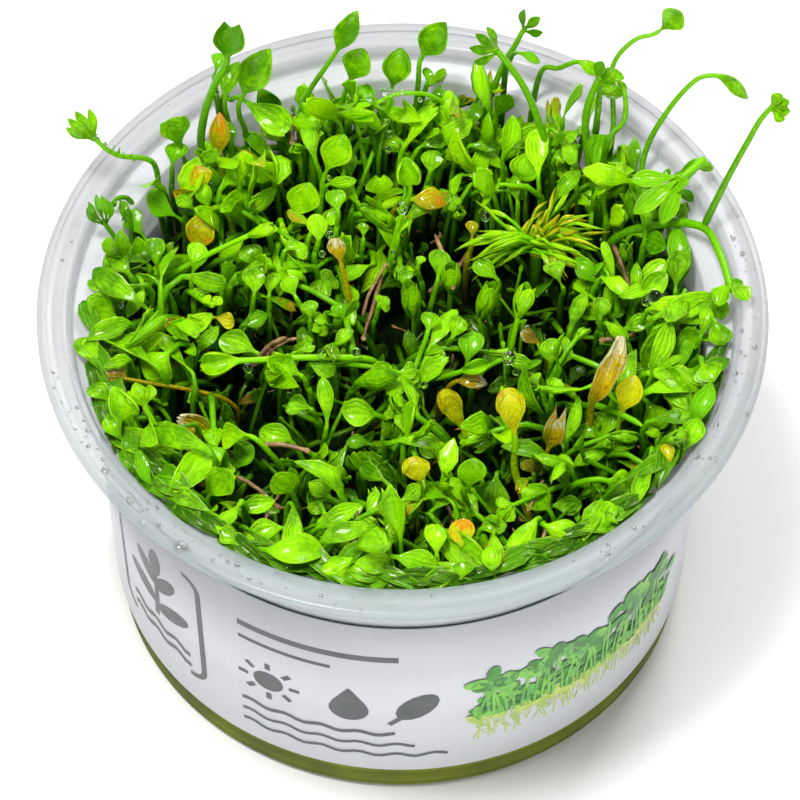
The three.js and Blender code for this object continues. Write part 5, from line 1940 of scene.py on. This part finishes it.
@dataclass(frozen=True)
class Layer:
    """One layer of low fronds: how many, how high over the mat, how wide, how far they lean and back."""

    count: int
    rise: Range
    widths: Range
    shades: Range
    reach: Range
    heads: tuple[Head, ...]
    arching: float = 0.45
    nearest: float = -50.0
    limes: int = 6


@dataclass
class Understorey:
    """The low fronds of the cushion, laid out at random from one seed, and the leaves given one by one."""

    cushion: Cushion
    seed: int = 20617
    spread: float = 38.6
    edge_lift: float = 0.35
    rim_count: int = 66
    lip_count: int = 96
    crossing_count: int = 260
    arch_count: int = 70
    widest: float = 42.3
    tries: int = 14
    low_depth: float = 4.0
    leaf_lengths: Range = (3.4, 5.6)
    arched_pitch: Range = (-0.6, 0.35)
    upright_pitch: Range = (0.3, 1.4)
    aged: float = 0.4
    aged_share: float = 0.07
    aged_rim_share: float = 0.02
    over_ledge: float = 1.2
    along_lip: tuple[Range, Range, Range] = ((38.0, 40.4), (39.6, 43.0), (1.0, 1.7))
    # The leaves under the lip row go in deep green as painted shade.
    under_lip: tuple[Range, Range, Range] = ((38.8, 41.6), (40.6, 43.4), (0.7, 1.4))
    rim_heads: tuple[Head, ...] = (Head.SPOON, Head.OVAL, Head.OVAL, Head.STRAP, Head.SPOON)
    arch_heads: tuple[Head, ...] = (Head.SPOON, Head.OVAL, Head.CROWN, Head.STRAP, Head.CLAW)
    broad: float = 1.9
    tall_room: float = 7.0
    sprig_room: float = 6.0
    hollows: tuple[tuple[Pixel, float], ...] = (
        ((268, 328), 26), ((385, 318), 27), ((240, 400), 26), ((285, 428), 22), ((345, 425), 24),
        ((505, 325), 27), ((545, 318), 24), ((580, 372), 16), ((240, 485), 16), ((435, 240), 26),
        ((345, 480), 18), ((468, 296), 16), ((310, 480), 16), ((410, 350), 16), ((480, 400), 16),
        ((372, 395), 15), ((300, 300), 14), ((590, 470), 14), ((530, 440), 14), ((535, 245), 50),
        ((500, 248), 34), ((580, 242), 34))
    # The low layer goes in deep green and the middle layer keeps low tones: painted shade under the taller
    # fronds.
    low: Layer = Layer(
        320, (0.5, 4.5), (0.6, 1.3), (0.2, 0.9), (0.5, 3.0),
        (Head.SPOON, Head.OVAL, Head.OVAL, Head.STRAP, Head.STRAP, Head.NOTCHED))
    middle: Layer = Layer(
        150, (2.5, 6.5), (0.6, 1.3), (0.0, 0.6), (0.8, 5.0),
        (Head.SPOON, Head.OVAL, Head.OVAL, Head.STRAP, Head.RUFFLE, Head.POD, Head.HOOD, Head.CROWN,
         Head.FAN, Head.NOTCHED))
    long: Layer = Layer(
        120, (6.5, 11.5), (0.9, 1.8), (0.2, 1.0), (1.0, 5.0),
        (Head.SPOON, Head.SPOON, Head.OVAL, Head.OVAL, Head.STRAP, Head.HOOD, Head.RUFFLE, Head.CROWN),
        arching=0.3)
    # The back layer has lighter tones and a larger share of yellow-green fronds: painted light on the back of
    # the cushion.
    back: Layer = Layer(
        165, (5.0, 12.5), (0.7, 1.8), (0.5, 1.2), (1.0, 6.0),
        (Head.SPOON, Head.SPOON, Head.OVAL, Head.OVAL, Head.STRAP, Head.RUFFLE, Head.HOOD, Head.CROWN),
        arching=0.35, nearest=13.0, limes=3)

    def __post_init__(self) -> None:
        """Starts the source of chance, and finds where the named heads show."""
        self.chance = random.Random(self.seed)
        self.heads: list[tuple[Pixel, float]] = []
        for tall in TALL_FRONDS:
            neck, tip = Vector(tall.route[-2]), Vector(tall.route[-1])
            self.heads.append((VIEW.pixel(neck.lerp(tip, 0.6)), self.tall_room * (1 + tall.width)))
        for tint, sprigs in SPRIGS.items():
            for sprig in sprigs:
                if tint in (Tint.YELLOW, Tint.TAN) or sprig.width >= self.broad:
                    middle = Vector(sprig.base).lerp(Vector(sprig.tip), 0.5)
                    self.heads.append(((middle.x, middle.y), self.sprig_room * (1 + sprig.width)))

    def _spot(self) -> tuple[float, float]:
        """Returns a place on the cushion, spread evenly over its round."""
        away = self.spread * math.sqrt(self.chance.random())
        turn = self.chance.uniform(0.0, FULL_TURN)
        return math.cos(turn) * away, math.sin(turn) * away

    def _hidden(self, point: Vector) -> bool:
        """Returns whether a point shows in a dark hollow or over a named head, or is over the flange."""
        if math.hypot(point.x, point.y) > self.widest:
            return True
        x, y = VIEW.pixel(point)
        return any(math.hypot(x - spot[0], y - spot[1]) < radius
                   for spot, radius in (*self.hollows, *self.heads))

    def _low_frond(self, layer: Layer) -> Frond:
        """Makes one low frond of a layer, which stands or arches over."""
        chance = self.chance
        x, y = self._spot()
        while y < layer.nearest:
            x, y = self._spot()
        edge = math.hypot(x, y) / self.spread
        turn = chance.uniform(0.0, FULL_TURN)
        out = level_way(turn)
        tall = chance.uniform(*layer.rise) * (1 + self.edge_lift * edge * edge)
        width = chance.uniform(*layer.widths)
        reach = chance.uniform(*layer.reach)
        foot = self.cushion.sunk(x, y, self.low_depth)
        arching = chance.random() < layer.arching
        bend, lean = (0.75, 1.0) if arching else (0.5, 0.45)
        knee = foot + UP * (self.low_depth + tall * bend) + out * reach * 0.2
        neck = foot + UP * (self.low_depth + tall) + out * reach * lean
        pitch = chance.uniform(*(self.arched_pitch if arching else self.upright_pitch))
        veer = turn + chance.uniform(-0.9, 0.9)
        way = Vector((math.cos(veer) * math.cos(pitch), math.sin(veer) * math.cos(pitch), math.sin(pitch)))
        tip = neck + way * width * chance.uniform(*self.leaf_lengths)
        points = self.cushion.all_inside((foot, knee), 0.7)
        points += self.cushion.all_inside((neck, tip), 0.8 + 0.5 * width)
        sway = Vector((chance.uniform(-1.2, 1.2), chance.uniform(-0.9, 0.9), 0.7))
        facing = (sway + TO_VIEWER * 0.5).normalized()
        decay = self.aged if chance.random() < self.aged_share else 0.0
        return Frond(chance.choice(layer.heads), width, points, chance.uniform(0.32, 0.52),
                     chance.uniform(*layer.shades), decay, facing, variation=1.0)

    def build_low(self, materials: dict) -> list[bpy.types.Object]:
        """Builds the layer under the leaves, in deep green as painted shade, and the green one over it, and
        returns them.
        """
        dark, green, lime = PlantMesh(), PlantMesh(), PlantMesh()
        # The lowest fronds go in the deep green piece as painted shade.
        for _ in range(self.low.count):
            self._low_frond(self.low).weave(dark, Detail.LOW)
        for layer in (self.middle, self.long, self.back):
            for number in range(layer.count):
                frond = self._clear(partial(self._low_frond, layer), 2)
                frond.weave(lime if number % layer.limes == 0 else green, Detail.SHORT)
        return [dark.finish("thicket_low", Tint.DEEP, materials, ["undergrowth"]),
                green.finish("thicket_middle", Tint.GREEN, materials),
                lime.finish("thicket_light", Tint.LIME, materials)]

    def _rim_frond(self, number: int) -> Frond | None:
        """Makes one of the leaves that lean on the lip.

        Args:
            number: Its place in the row round the cup.

        Returns:
            The frond, or nothing where it would cover a hollow or a named head.
        """
        chance = self.chance
        over = self.cushion.cup.ledge_height + self.over_ledge
        turn = FULL_TURN * (number + chance.uniform(-0.4, 0.4)) / self.rim_count
        veer = turn + chance.uniform(-0.14, 0.14)
        behind = smooth(math.sin(turn) * 1.6)
        before = smooth(-math.sin(turn) * 1.8)
        side = level_way(turn)
        across = Vector((-side.y, side.x, 0.0)) * chance.uniform(-6.5, 6.5)
        foot = side * chance.uniform(31.0, 36.0)
        foot.z = self.cushion.mat_height(foot.x, foot.y) - 3.0
        reach = blend_between(chance.uniform(38.5, 41.6), chance.uniform(40.6, 42.2), before)
        reach = blend_between(reach, chance.uniform(35.5, 38.0), behind)
        top = blend_between(over + chance.uniform(0.0, 1.8), over + chance.uniform(-0.6, 0.4), before)
        top = blend_between(top, chance.uniform(48.0, 54.0), behind)
        tip = Vector((math.cos(veer) * reach, math.sin(veer) * reach, top)) + across
        neck = side * blend_between(chance.uniform(31.5, 36.5), reach - 3.5, behind)
        neck.z = blend_between(top - chance.uniform(0.0, 0.7), top - chance.uniform(1.5, 4.0), behind)
        knee = foot.lerp(neck, 0.6)
        knee.z = blend_between(foot.z, neck.z, 0.55)
        points = self.cushion.all_inside((foot, knee, neck), 0.8)
        points += (self.cushion.inside(tip, 0.3 + 1.2 * behind),)
        sway = Vector((chance.uniform(-1.0, 1.0), chance.uniform(-1.0, 1.0), 0.7))
        if self._hidden(neck.lerp(tip, 0.5)):
            return None
        return Frond(chance.choice(self.rim_heads), chance.uniform(1.1, 2.2), points,
                     chance.uniform(0.4, 0.6), chance.uniform(-0.1, 0.8),
                     self.aged if chance.random() < self.aged_rim_share else 0.0,
                     (sway + TO_VIEWER).normalized(), variation=1.0)

    def _lip_frond(self, number: int, under: bool) -> Frond:
        """Makes one of the leaves that lie along the front lip.

        Args:
            number: Its place in the row, from right to left.
            under: True for a narrow deep green leaf that closes the gap under the others, as painted shade.

        Returns:
            The frond.
        """
        chance = self.chance
        over = self.cushion.cup.ledge_height + self.over_ledge
        turn = math.pi * (1.04 + 0.92 * (number + chance.uniform(-0.4, 0.4)) / self.lip_count)
        side = level_way(turn)
        along = Vector((-side.y, side.x, 0.0)) * chance.choice((-1.0, 1.0))
        up = Vector((0.0, 0.0, over + chance.uniform(-0.8, -0.2)))
        if under:
            up.z = over - 0.9
        necks, tips, widths = self.under_lip if under else self.along_lip
        neck = side * chance.uniform(*necks) + up
        tip = side * chance.uniform(*tips) + along * chance.uniform(5.0, 9.5) + up
        foot = side * 35.0 - along * chance.uniform(1.0, 5.0) + up * 0.8
        points = (foot, foot.lerp(neck, 0.6), self.cushion.inside(neck, 1.2), self.cushion.inside(tip, 0.5))
        sway = Vector((chance.uniform(-0.3, 0.3), chance.uniform(-0.3, 0.3), 1.0))
        shade = chance.uniform(-0.6, 0.5)
        width = chance.uniform(*widths)
        head = Head.STRAP if under else chance.choice(self.rim_heads)
        return Frond(head, width, points, chance.uniform(0.3, 0.45), shade,
                     facing=(sway + TO_VIEWER).normalized(), variation=0.5)

    def build_rim(self, materials: dict) -> list[bpy.types.Object]:
        """Builds the leaves that lean on the cup's lip and the deep green ones under them, which are painted
        shade, and returns them.
        """
        plant, dark = PlantMesh(), PlantMesh()
        for number in range(self.rim_count):
            frond = self._rim_frond(number)
            if frond:
                frond.weave(plant, Detail.MIDDLE)
        for number in range(self.lip_count):
            # Two in three lip leaves go in the deep green piece as painted shade under the row.
            under = number % 3 != 0
            self._lip_frond(number, under).weave(dark if under else plant, Detail.SHORT)
        return [plant.finish("rim_leaves", Tint.GREEN, materials),
                dark.finish("rim_shade", Tint.DEEP, materials)]

    def build_sprigs(self, materials: dict, drops: PlantMesh) -> list[bpy.types.Object]:
        """Builds the listed leaves, one piece for each tint, and wets them.

        Args:
            materials: Leaf materials by tint.
            drops: Mesh that takes the beads of water.

        Returns:
            The pieces.
        """
        pieces = []
        for tint in Tint:
            plant = PlantMesh()
            for sprig in SPRIGS[tint]:
                sprig.frond(self.cushion, self.chance).weave(plant, Detail.MIDDLE)
            plant.wet(drops, self.chance, len(plant.mesh.verts) // 60)
            pieces.append(plant.finish("sprigs_" + tint.value, tint, materials, levels=1))
        return pieces

    def _arch(self) -> Frond:
        """Makes one stalk that rises and runs over its neighbours to a small head."""
        chance = self.chance
        x, y = self._spot()
        turn = chance.uniform(0.0, FULL_TURN)
        out = level_way(turn) * chance.uniform(7.0, 15.0)
        up = Vector((0.0, 0.0, chance.uniform(7.5, 13.0)))
        start = self.cushion.sunk(x, y, 2.0)
        end = start + out + up * chance.uniform(0.9, 1.2)
        ahead = out.normalized() * chance.uniform(2.4, 4.6)
        tip = end + ahead + Vector((0.0, 0.0, chance.uniform(-1.5, 1.0)))
        points = (start, start + out * 0.15 + up * 0.65, start + out * 0.5 + up, end, tip)
        points = self.cushion.all_inside(points, 0.9)
        return Frond(chance.choice(self.arch_heads), chance.uniform(0.7, 1.5), points,
                     chance.uniform(0.34, 0.52), chance.uniform(0.5, 1.0), variation=1.0)

    def _crossing(self) -> Frond:
        """Makes one bare stalk that slants up between its neighbours."""
        chance = self.chance
        x, y = self._spot()
        turn = chance.uniform(0.0, FULL_TURN)
        reach = chance.uniform(3.0, 11.0)
        start = self.cushion.sunk(x, y, 2.0)
        far = start + Vector((math.cos(turn) * reach, math.sin(turn) * reach, chance.uniform(4.0, 12.0)))
        knee = start.lerp(far, 0.5) + Vector((chance.uniform(-1, 1), chance.uniform(-1, 1), 1.2))
        points = self.cushion.all_inside((start, knee, far), 0.8)
        tip = points[-1] + (points[-1] - points[-2]).normalized() * 1.2
        return Frond(Head.NEEDLE, 0.3, (*points, self.cushion.inside(tip, 0.8)),
                     chance.uniform(0.2, 0.48), chance.uniform(0.2, 0.9))

    def _clear(self, make: Callable[[], Frond], shown: int) -> Frond:
        """Makes a frond whose last points leave the hollows free, if one comes up in a few tries.

        Args:
            make: Makes one frond by chance.
            shown: How many of its last points have to be clear.

        Returns:
            The frond.
        """
        frond = make()
        for _ in range(self.tries):
            if not any(self._hidden(point) for point in frond.points[-shown:]):
                break
            frond = make()
        return frond

    def build_stalks(self, materials: dict) -> bpy.types.Object:
        """Builds the stalks that cross between the leaves and arch over them, and returns them."""
        plant = PlantMesh()
        for _ in range(self.crossing_count):
            self._crossing().weave(plant, Detail.LOW)
        for _ in range(self.arch_count):
            self._clear(self._arch, 3).weave(plant, Detail.SHORT)
        return plant.finish("thicket_stalks", Tint.GREEN, materials)

    def build_mat(self, roots_and_shade: bpy.types.Material) -> bpy.types.Object:
        """Builds the lumpy mat of roots that closes the cushion from below, coloured near black as painted
        shade in the gaps, and returns it.
        """
        cup = self.cushion.cup
        bottom, gap, rings = 9.3, 0.6, 10
        top = self.cushion.centre_height - 2.0
        outer = cup.wall_radius(top) - cup.wall_thickness - gap
        lower = cup.wall_radius(bottom) - cup.wall_thickness - gap
        outline = [(0.0, bottom), (lower, bottom), (outer, top)]
        outline += [(outer * (rings - step) / rings, top) for step in range(1, rings + 1)]
        mesh = turned_mesh(outline, 72, closed=False)
        for vertex in mesh.verts:
            if vertex.co.z > top - 0.5:
                x, y = vertex.co.x, vertex.co.y
                lump = noise.noise(Vector((x * 0.35, y * 0.35, 3.0)))
                vertex.co.z = self.cushion.mat_height(x, y) - 3.0 + 1.6 * lump
        return finish_piece("root_mat", mesh, [roots_and_shade])


@dataclass
class DeadStems:
    """Brown stems and old roots that lie among the green ones."""

    cushion: Cushion
    seed: int = 77
    count: int = 60
    spread: float = 36.0
    standing: tuple[Point, ...] = ((2.5, 10.5, 44.5), (7.0, 13.5, 46.5), (9.5, 19.0, 45.5))
    seen: tuple[tuple[Pixel, Pixel, Pixel, float], ...] = (
        ((290, 336), (270, 345), (256, 362), 52.5), ((232, 474), (254, 486), (275, 504), 52.5),
        ((160, 436), (175, 440), (190, 452), 50.5), ((258, 446), (280, 444), (304, 450), 51.5),
        ((362, 320), (368, 296), (384, 268), 50.0), ((384, 268), (372, 310), (364, 336), 49.0),
        ((433, 230), (444, 256), (452, 284), 51.0), ((612, 240), (620, 262), (632, 290), 51.0),
        ((660, 340), (672, 328), (684, 316), 52.0), ((352, 552), (355, 535), (356, 516), 54.5),
        ((548, 556), (544, 546), (545, 532), 53.0), ((560, 552), (556, 540), (558, 530), 53.0),
        ((545, 478), (536, 492), (530, 506), 52.0), ((294, 112), (293, 124), (292, 140), 54.5),
        ((300, 338), (284, 342), (270, 352), 52.0), ((640, 330), (625, 338), (606, 340), 50.0),
    )

    def _lying(self, chance: random.Random) -> Frond:
        """Makes one stem that lies anywhere on the mat."""
        away = self.spread * math.sqrt(chance.random())
        turn = chance.uniform(0.0, FULL_TURN)
        x, y = math.cos(turn) * away, math.sin(turn) * away
        ground = self.cushion.mat_height(x, y) + chance.uniform(0.0, 3.0)
        way = chance.uniform(0.0, FULL_TURN)
        reach = chance.uniform(3.0, 7.0)
        points = []
        for step in range(4):
            wander = Vector((chance.uniform(-0.6, 0.6), chance.uniform(-0.6, 0.6), chance.uniform(0, 1.6)))
            along = level_way(way) * reach * step / 3
            points.append(self.cushion.inside(Vector((x, y, ground)) + along + wander, 1.2))
        return Frond(Head.NEEDLE, 0.3, tuple(points), chance.uniform(0.14, 0.3))

    def build(self, bark: bpy.types.Material) -> bpy.types.Object:
        """Builds the stems and returns them."""
        chance = random.Random(self.seed)
        plant = PlantMesh()
        kept = [Vector(point) for point in self.standing]
        Frond(Head.NEEDLE, 0.4, (*kept, kept[-1] + Vector((0.8, 1.0, -0.3))), 0.4).weave(plant, Detail.MIDDLE)
        for *pixels, height in self.seen:
            points = [self.cushion.inside(VIEW.at_height(pixel, height), 1.0) for pixel in pixels]
            points.append(points[-1] + (points[-1] - points[-2]).normalized())
            Frond(Head.NEEDLE, 0.4, tuple(points), chance.uniform(0.24, 0.4)).weave(plant, Detail.MIDDLE)
        for _ in range(self.count):
            self._lying(chance).weave(plant, Detail.LOW)
        bmesh.ops.recalc_face_normals(plant.mesh, faces=plant.mesh.faces)
        return finish_piece("dead_stems", plant.mesh, [bark], ["dead_stem_back"], levels=1)


@dataclass
class NeedleTuft:
    """The tuft of needle leaves with a yellow heart near the back."""

    cushion: Cushion
    centre: Point = (17.5, 14.5, 51.0)
    reach: float = 9.8
    outer_count: int = 50
    heart_count: int = 44
    seed: int = 5

    def _needle(self, chance: random.Random, turn: float, long: float, width: float) -> Frond:
        """Makes one needle.

        Args:
            chance: Source of chance.
            turn: Its turn in the picture's plane.
            long: Its length.
            width: Its half width.

        Returns:
            The needle.
        """
        right, up, back = VIEW.axes()
        centre = Vector(self.centre) + right * chance.gauss(0.0, 1.3) + up * chance.gauss(0.0, 0.5)
        rise = chance.uniform(-0.2, 0.9)
        way = (right * math.cos(turn) + up * math.sin(turn)) * math.cos(rise) + back * math.sin(rise)
        droop = Vector((0.0, 0.0, chance.uniform(0.1, 1.4)))
        middle = centre + way * long * 0.5 + Vector((0.0, 0.0, chance.uniform(0.2, 1.6)))
        stray = (right * chance.uniform(-1, 1) + up * chance.uniform(-1, 1)) * 0.7
        tip = centre + way * long + stray - droop
        start = centre + way * 0.3
        return Frond(Head.NEEDLE, width, (start, start.lerp(middle, 0.3), middle, tip), 0.26,
                     chance.uniform(0.85, 1.15))

    def build(self, materials: dict) -> list[bpy.types.Object]:
        """Builds the green and the yellow needles and returns them."""
        chance = random.Random(self.seed)
        green, yellow = PlantMesh(), PlantMesh()
        centre = Vector(self.centre)
        foot = self.cushion.foot(centre)
        Frond(Head.DISC, 1.2, (foot, foot.lerp(centre, 0.6), centre, centre + Vector((0, 0, 1.2))),
              0.8, 0.4).weave(green, Detail.MIDDLE)
        for _ in range(self.outer_count):
            turn = chance.choice((0.0, math.pi)) + chance.gauss(0.0, 0.34)
            long = self.reach * chance.uniform(0.55, 1.0)
            self._needle(chance, turn, long, chance.uniform(0.18, 0.34)).weave(green, Detail.MIDDLE)
        for _ in range(self.heart_count):
            turn = chance.gauss(0.3, 0.8)
            long = self.reach * chance.uniform(0.3, 0.85)
            needle = self._needle(chance, turn, long, chance.uniform(0.18, 0.3))
            replace(needle, decay=0.1).weave(yellow, Detail.MIDDLE)
        return [green.finish("tuft_green", Tint.LIME, materials, ["needle_tuft"]),
                yellow.finish("tuft_yellow", Tint.YELLOW, materials)]


@dataclass
class StalkHairs:
    """The short hairs on the stalk that reaches out at the left."""

    first: Point = (-33.2, 20.8, 59.6)
    last: Point = (-42.4, 20.6, 67.4)
    middle: Point = (-37.5, 19.6, 63.1)
    count: int = 34

    def build(self, materials: dict) -> bpy.types.Object:
        """Builds the hairs and returns them."""
        chance = random.Random(3)
        plant = PlantMesh()
        route = Route([Vector(self.first), Vector(self.middle), Vector(self.last)])
        for number in range(self.count):
            base = route.at(number / (self.count - 1))
            way = Vector((chance.uniform(-0.8, 0.6), chance.uniform(-0.9, 0.9), 0.8)).normalized()
            points = (base, base + way * 0.4, base + way * 0.55, base + way * chance.uniform(0.65, 0.95))
            Frond(Head.NEEDLE, 0.1, points, 0.1, 0.5).weave(plant, Detail.LOW)
        return plant.finish("stalk_hairs", Tint.GREEN, materials)


# Water


@dataclass
class Droplets:
    """Water drops on the flange and beads on the stalks."""

    cup: CultureCup
    seed: int = 9
    flange_count: int = 150
    wet_parts: tuple[Range, ...] = ((3.3, 4.6), (5.2, 6.6), (0.0, 6.28))
    large: tuple[tuple[Pixel, float], ...] = (
        ((179, 547), 0.95), ((130, 500), 0.55), ((140, 525), 0.45), ((105, 470), 0.5), ((88, 430), 0.4),
        ((688, 452), 0.45), ((705, 420), 0.4), ((728, 372), 0.4), ((740, 352), 0.35), ((735, 330), 0.35))
    beads: tuple[tuple[Pixel, float, float], ...] = (
        ((402, 208), 60.0, 0.85), ((509, 358), 56.5, 0.95), ((655, 298), 55.5, 1.1), ((646, 302), 55.0, 0.6),
        ((485, 216), 54.5, 0.8), ((248, 368), 53.2, 0.7), ((271, 368), 53.0, 0.8), ((332, 352), 53.2, 1.0),
        ((322, 354), 53.0, 0.7), ((356, 352), 52.8, 0.6), ((424, 385), 53.0, 0.5), ((370, 98), 61.5, 0.5),
        ((384, 92), 62.0, 0.55), ((392, 92), 62.0, 0.4), ((402, 92), 62.0, 0.35), ((390, 134), 56.0, 0.55),
        ((388, 150), 55.0, 0.5), ((386, 122), 57.0, 0.4), ((420, 100), 60.5, 0.35), ((330, 235), 56.0, 0.6),
        ((322, 254), 55.0, 0.5), ((452, 117), 57.0, 0.4), ((372, 206), 53.5, 0.55), ((329, 178), 60.0, 0.4),
        ((516, 372), 53.0, 0.5), ((393, 252), 54.0, 0.35), ((394, 262), 53.5, 0.3), ((121, 306), 53.5, 0.4))

    def build(self, water: bpy.types.Material, stalks: PlantMesh) -> list[bpy.types.Object]:
        """Builds the drops on the flange and the beads on the stalks.

        Args:
            water: The clear water.
            stalks: Mesh that holds the beads set on the leaves before.

        Returns:
            Both pieces.
        """
        chance = random.Random(self.seed)
        flange = PlantMesh()
        top = self.cup.height
        for pixel, radius in self.large:
            place = VIEW.at_height(pixel, top)
            away = math.hypot(place.x, place.y)
            held = min(max(away, self.cup.flange_inner_radius + radius), self.cup.flange_radius - radius)
            flange.bead(place * (held / away) + Vector((0, 0, top - place.z * held / away)), radius, 0.5)
        for _ in range(self.flange_count):
            turn = chance.choice([chance.uniform(*part) for part in self.wet_parts])
            radius = 0.1 + 0.3 * chance.random() ** 3
            away = chance.uniform(self.cup.flange_inner_radius + 0.4, self.cup.flange_radius - 0.4)
            flange.bead(Vector((math.cos(turn) * away, math.sin(turn) * away, top - 0.05)), radius, 0.5)
        for pixel, height, radius in self.beads:
            stalks.bead(VIEW.at_height(pixel, height), radius)
        return [finish_piece("drops_flange", flange.mesh, [water]),
                finish_piece("drops_stalks", stalks.mesh, [water])]


# Studio


@dataclass
class Studio:
    """The pale floor and the soft light."""

    floor_size: float = 4.0
    floor_colour: Colour = (0.93, 0.93, 0.93)
    sky: float = 0.26

    def build(self) -> None:
        """Adds the floor, the sky and the soft boxes, and sets plain colours for the picture."""
        mesh = bmesh.new()
        bmesh.ops.create_grid(mesh, x_segments=1, y_segments=1, size=self.floor_size)
        data = bpy.data.meshes.new("floor")
        mesh.to_mesh(data)
        mesh.free()
        floor = bpy.data.objects.new("floor", data)
        bpy.context.scene.collection.objects.link(floor)
        material, sheet, shader = new_material("floor_white")
        sheet.feed(shader, {
            "Base Color": opaque(self.floor_colour),
            "Roughness": 0.9,
            "Specular IOR Level": 0.1,
        })
        data.materials.append(material)
        world = bpy.data.worlds.new("sky")
        world.use_nodes = True
        background = world.node_tree.nodes["Background"]
        NodeSheet(world.node_tree).feed(background, {"Color": opaque(WHITE), "Strength": self.sky})
        scene = bpy.context.scene
        scene.world = world
        scene.view_settings.view_transform = "Standard"
        self._box("key", place=(-0.22, -0.15, 1.1), size=0.26, power=12.5)
        self._box("front", place=(0.1, -1.0, 0.08), size=0.8, power=10.0)
        self._box("rim", place=(0.3, 0.75, 0.9), size=0.4, power=8.0)

    @staticmethod
    def _box(name: str, place: Point, size: float, power: float) -> None:
        """Adds one square soft box that looks at the cup."""
        data = bpy.data.lights.new(name, "AREA")
        data.size = size
        data.energy = power
        light = bpy.data.objects.new(name, data)
        way = Vector((0.0, 0.0, 0.04)) - Vector(place)
        light.matrix_world = Matrix.Translation(place) @ way.to_track_quat("-Z", "Y").to_matrix().to_4x4()
        bpy.context.scene.collection.objects.link(light)


def main() -> None:
    """Imports the model, places the camera and builds the studio, then builds the cup and the plants in
    order.
    """
    logging.basicConfig(level=logging.INFO, format="%(message)s")
    noise.seed_set(WOBBLE_SEED)
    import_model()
    VIEW.add_camera()
    Studio().build()

    surface = LeafSurface()
    leaves = {tint: finish.build(surface) for tint, finish in LEAF_FINISHES.items()}
    plastic = FrostedFinish().build()
    water = WaterFinish().build()
    bark = StemFinish("dead_stem", (0.090, 0.030, 0.006), (0.42, 0.24, 0.08), roughness=0.4).build()
    # The root mat's near-black colour is painted shade for the deep gaps between the leaves.
    roots_and_shade = StemFinish("roots_and_shade", (0.001, 0.003, 0.001), (0.008, 0.024, 0.001), 0.8, wetness=0.0,
                       shine=0.06).build()

    cup = CultureCup()
    cup.build(plastic)
    GelDisc(cup).build(GelFinish().build())
    label = LabelSleeve(cup)
    label.build_film(PaperFinish().build())
    label.build_print([
        InkFinish("ink_grey", (0.045, 0.050, 0.055), (0.075, 0.080, 0.085)).build(),
        InkFinish("ink_leaf", (0.012, 0.110, 0.010), (0.040, 0.240, 0.016)).build(),
        InkFinish("ink_sprig", (0.070, 0.300, 0.030), (0.170, 0.450, 0.050)).build(),
        InkFinish("ink_root", (0.280, 0.420, 0.050), (0.450, 0.520, 0.120)).build(),
    ])

    cushion = Cushion(cup)
    beads = PlantMesh()
    understorey = Understorey(cushion)
    understorey.build_mat(roots_and_shade)
    understorey.build_low(leaves)
    understorey.build_rim(leaves)
    understorey.build_sprigs(leaves, beads)
    understorey.build_stalks(leaves)
    for tall in TALL_FRONDS:
        tall.build(cushion, leaves)
    NeedleTuft(cushion).build(leaves)
    StalkHairs().build(leaves)
    DeadStems(cushion).build(bark)
    Droplets(cup).build(water, beads)


if __name__ == "__main__":
    main()
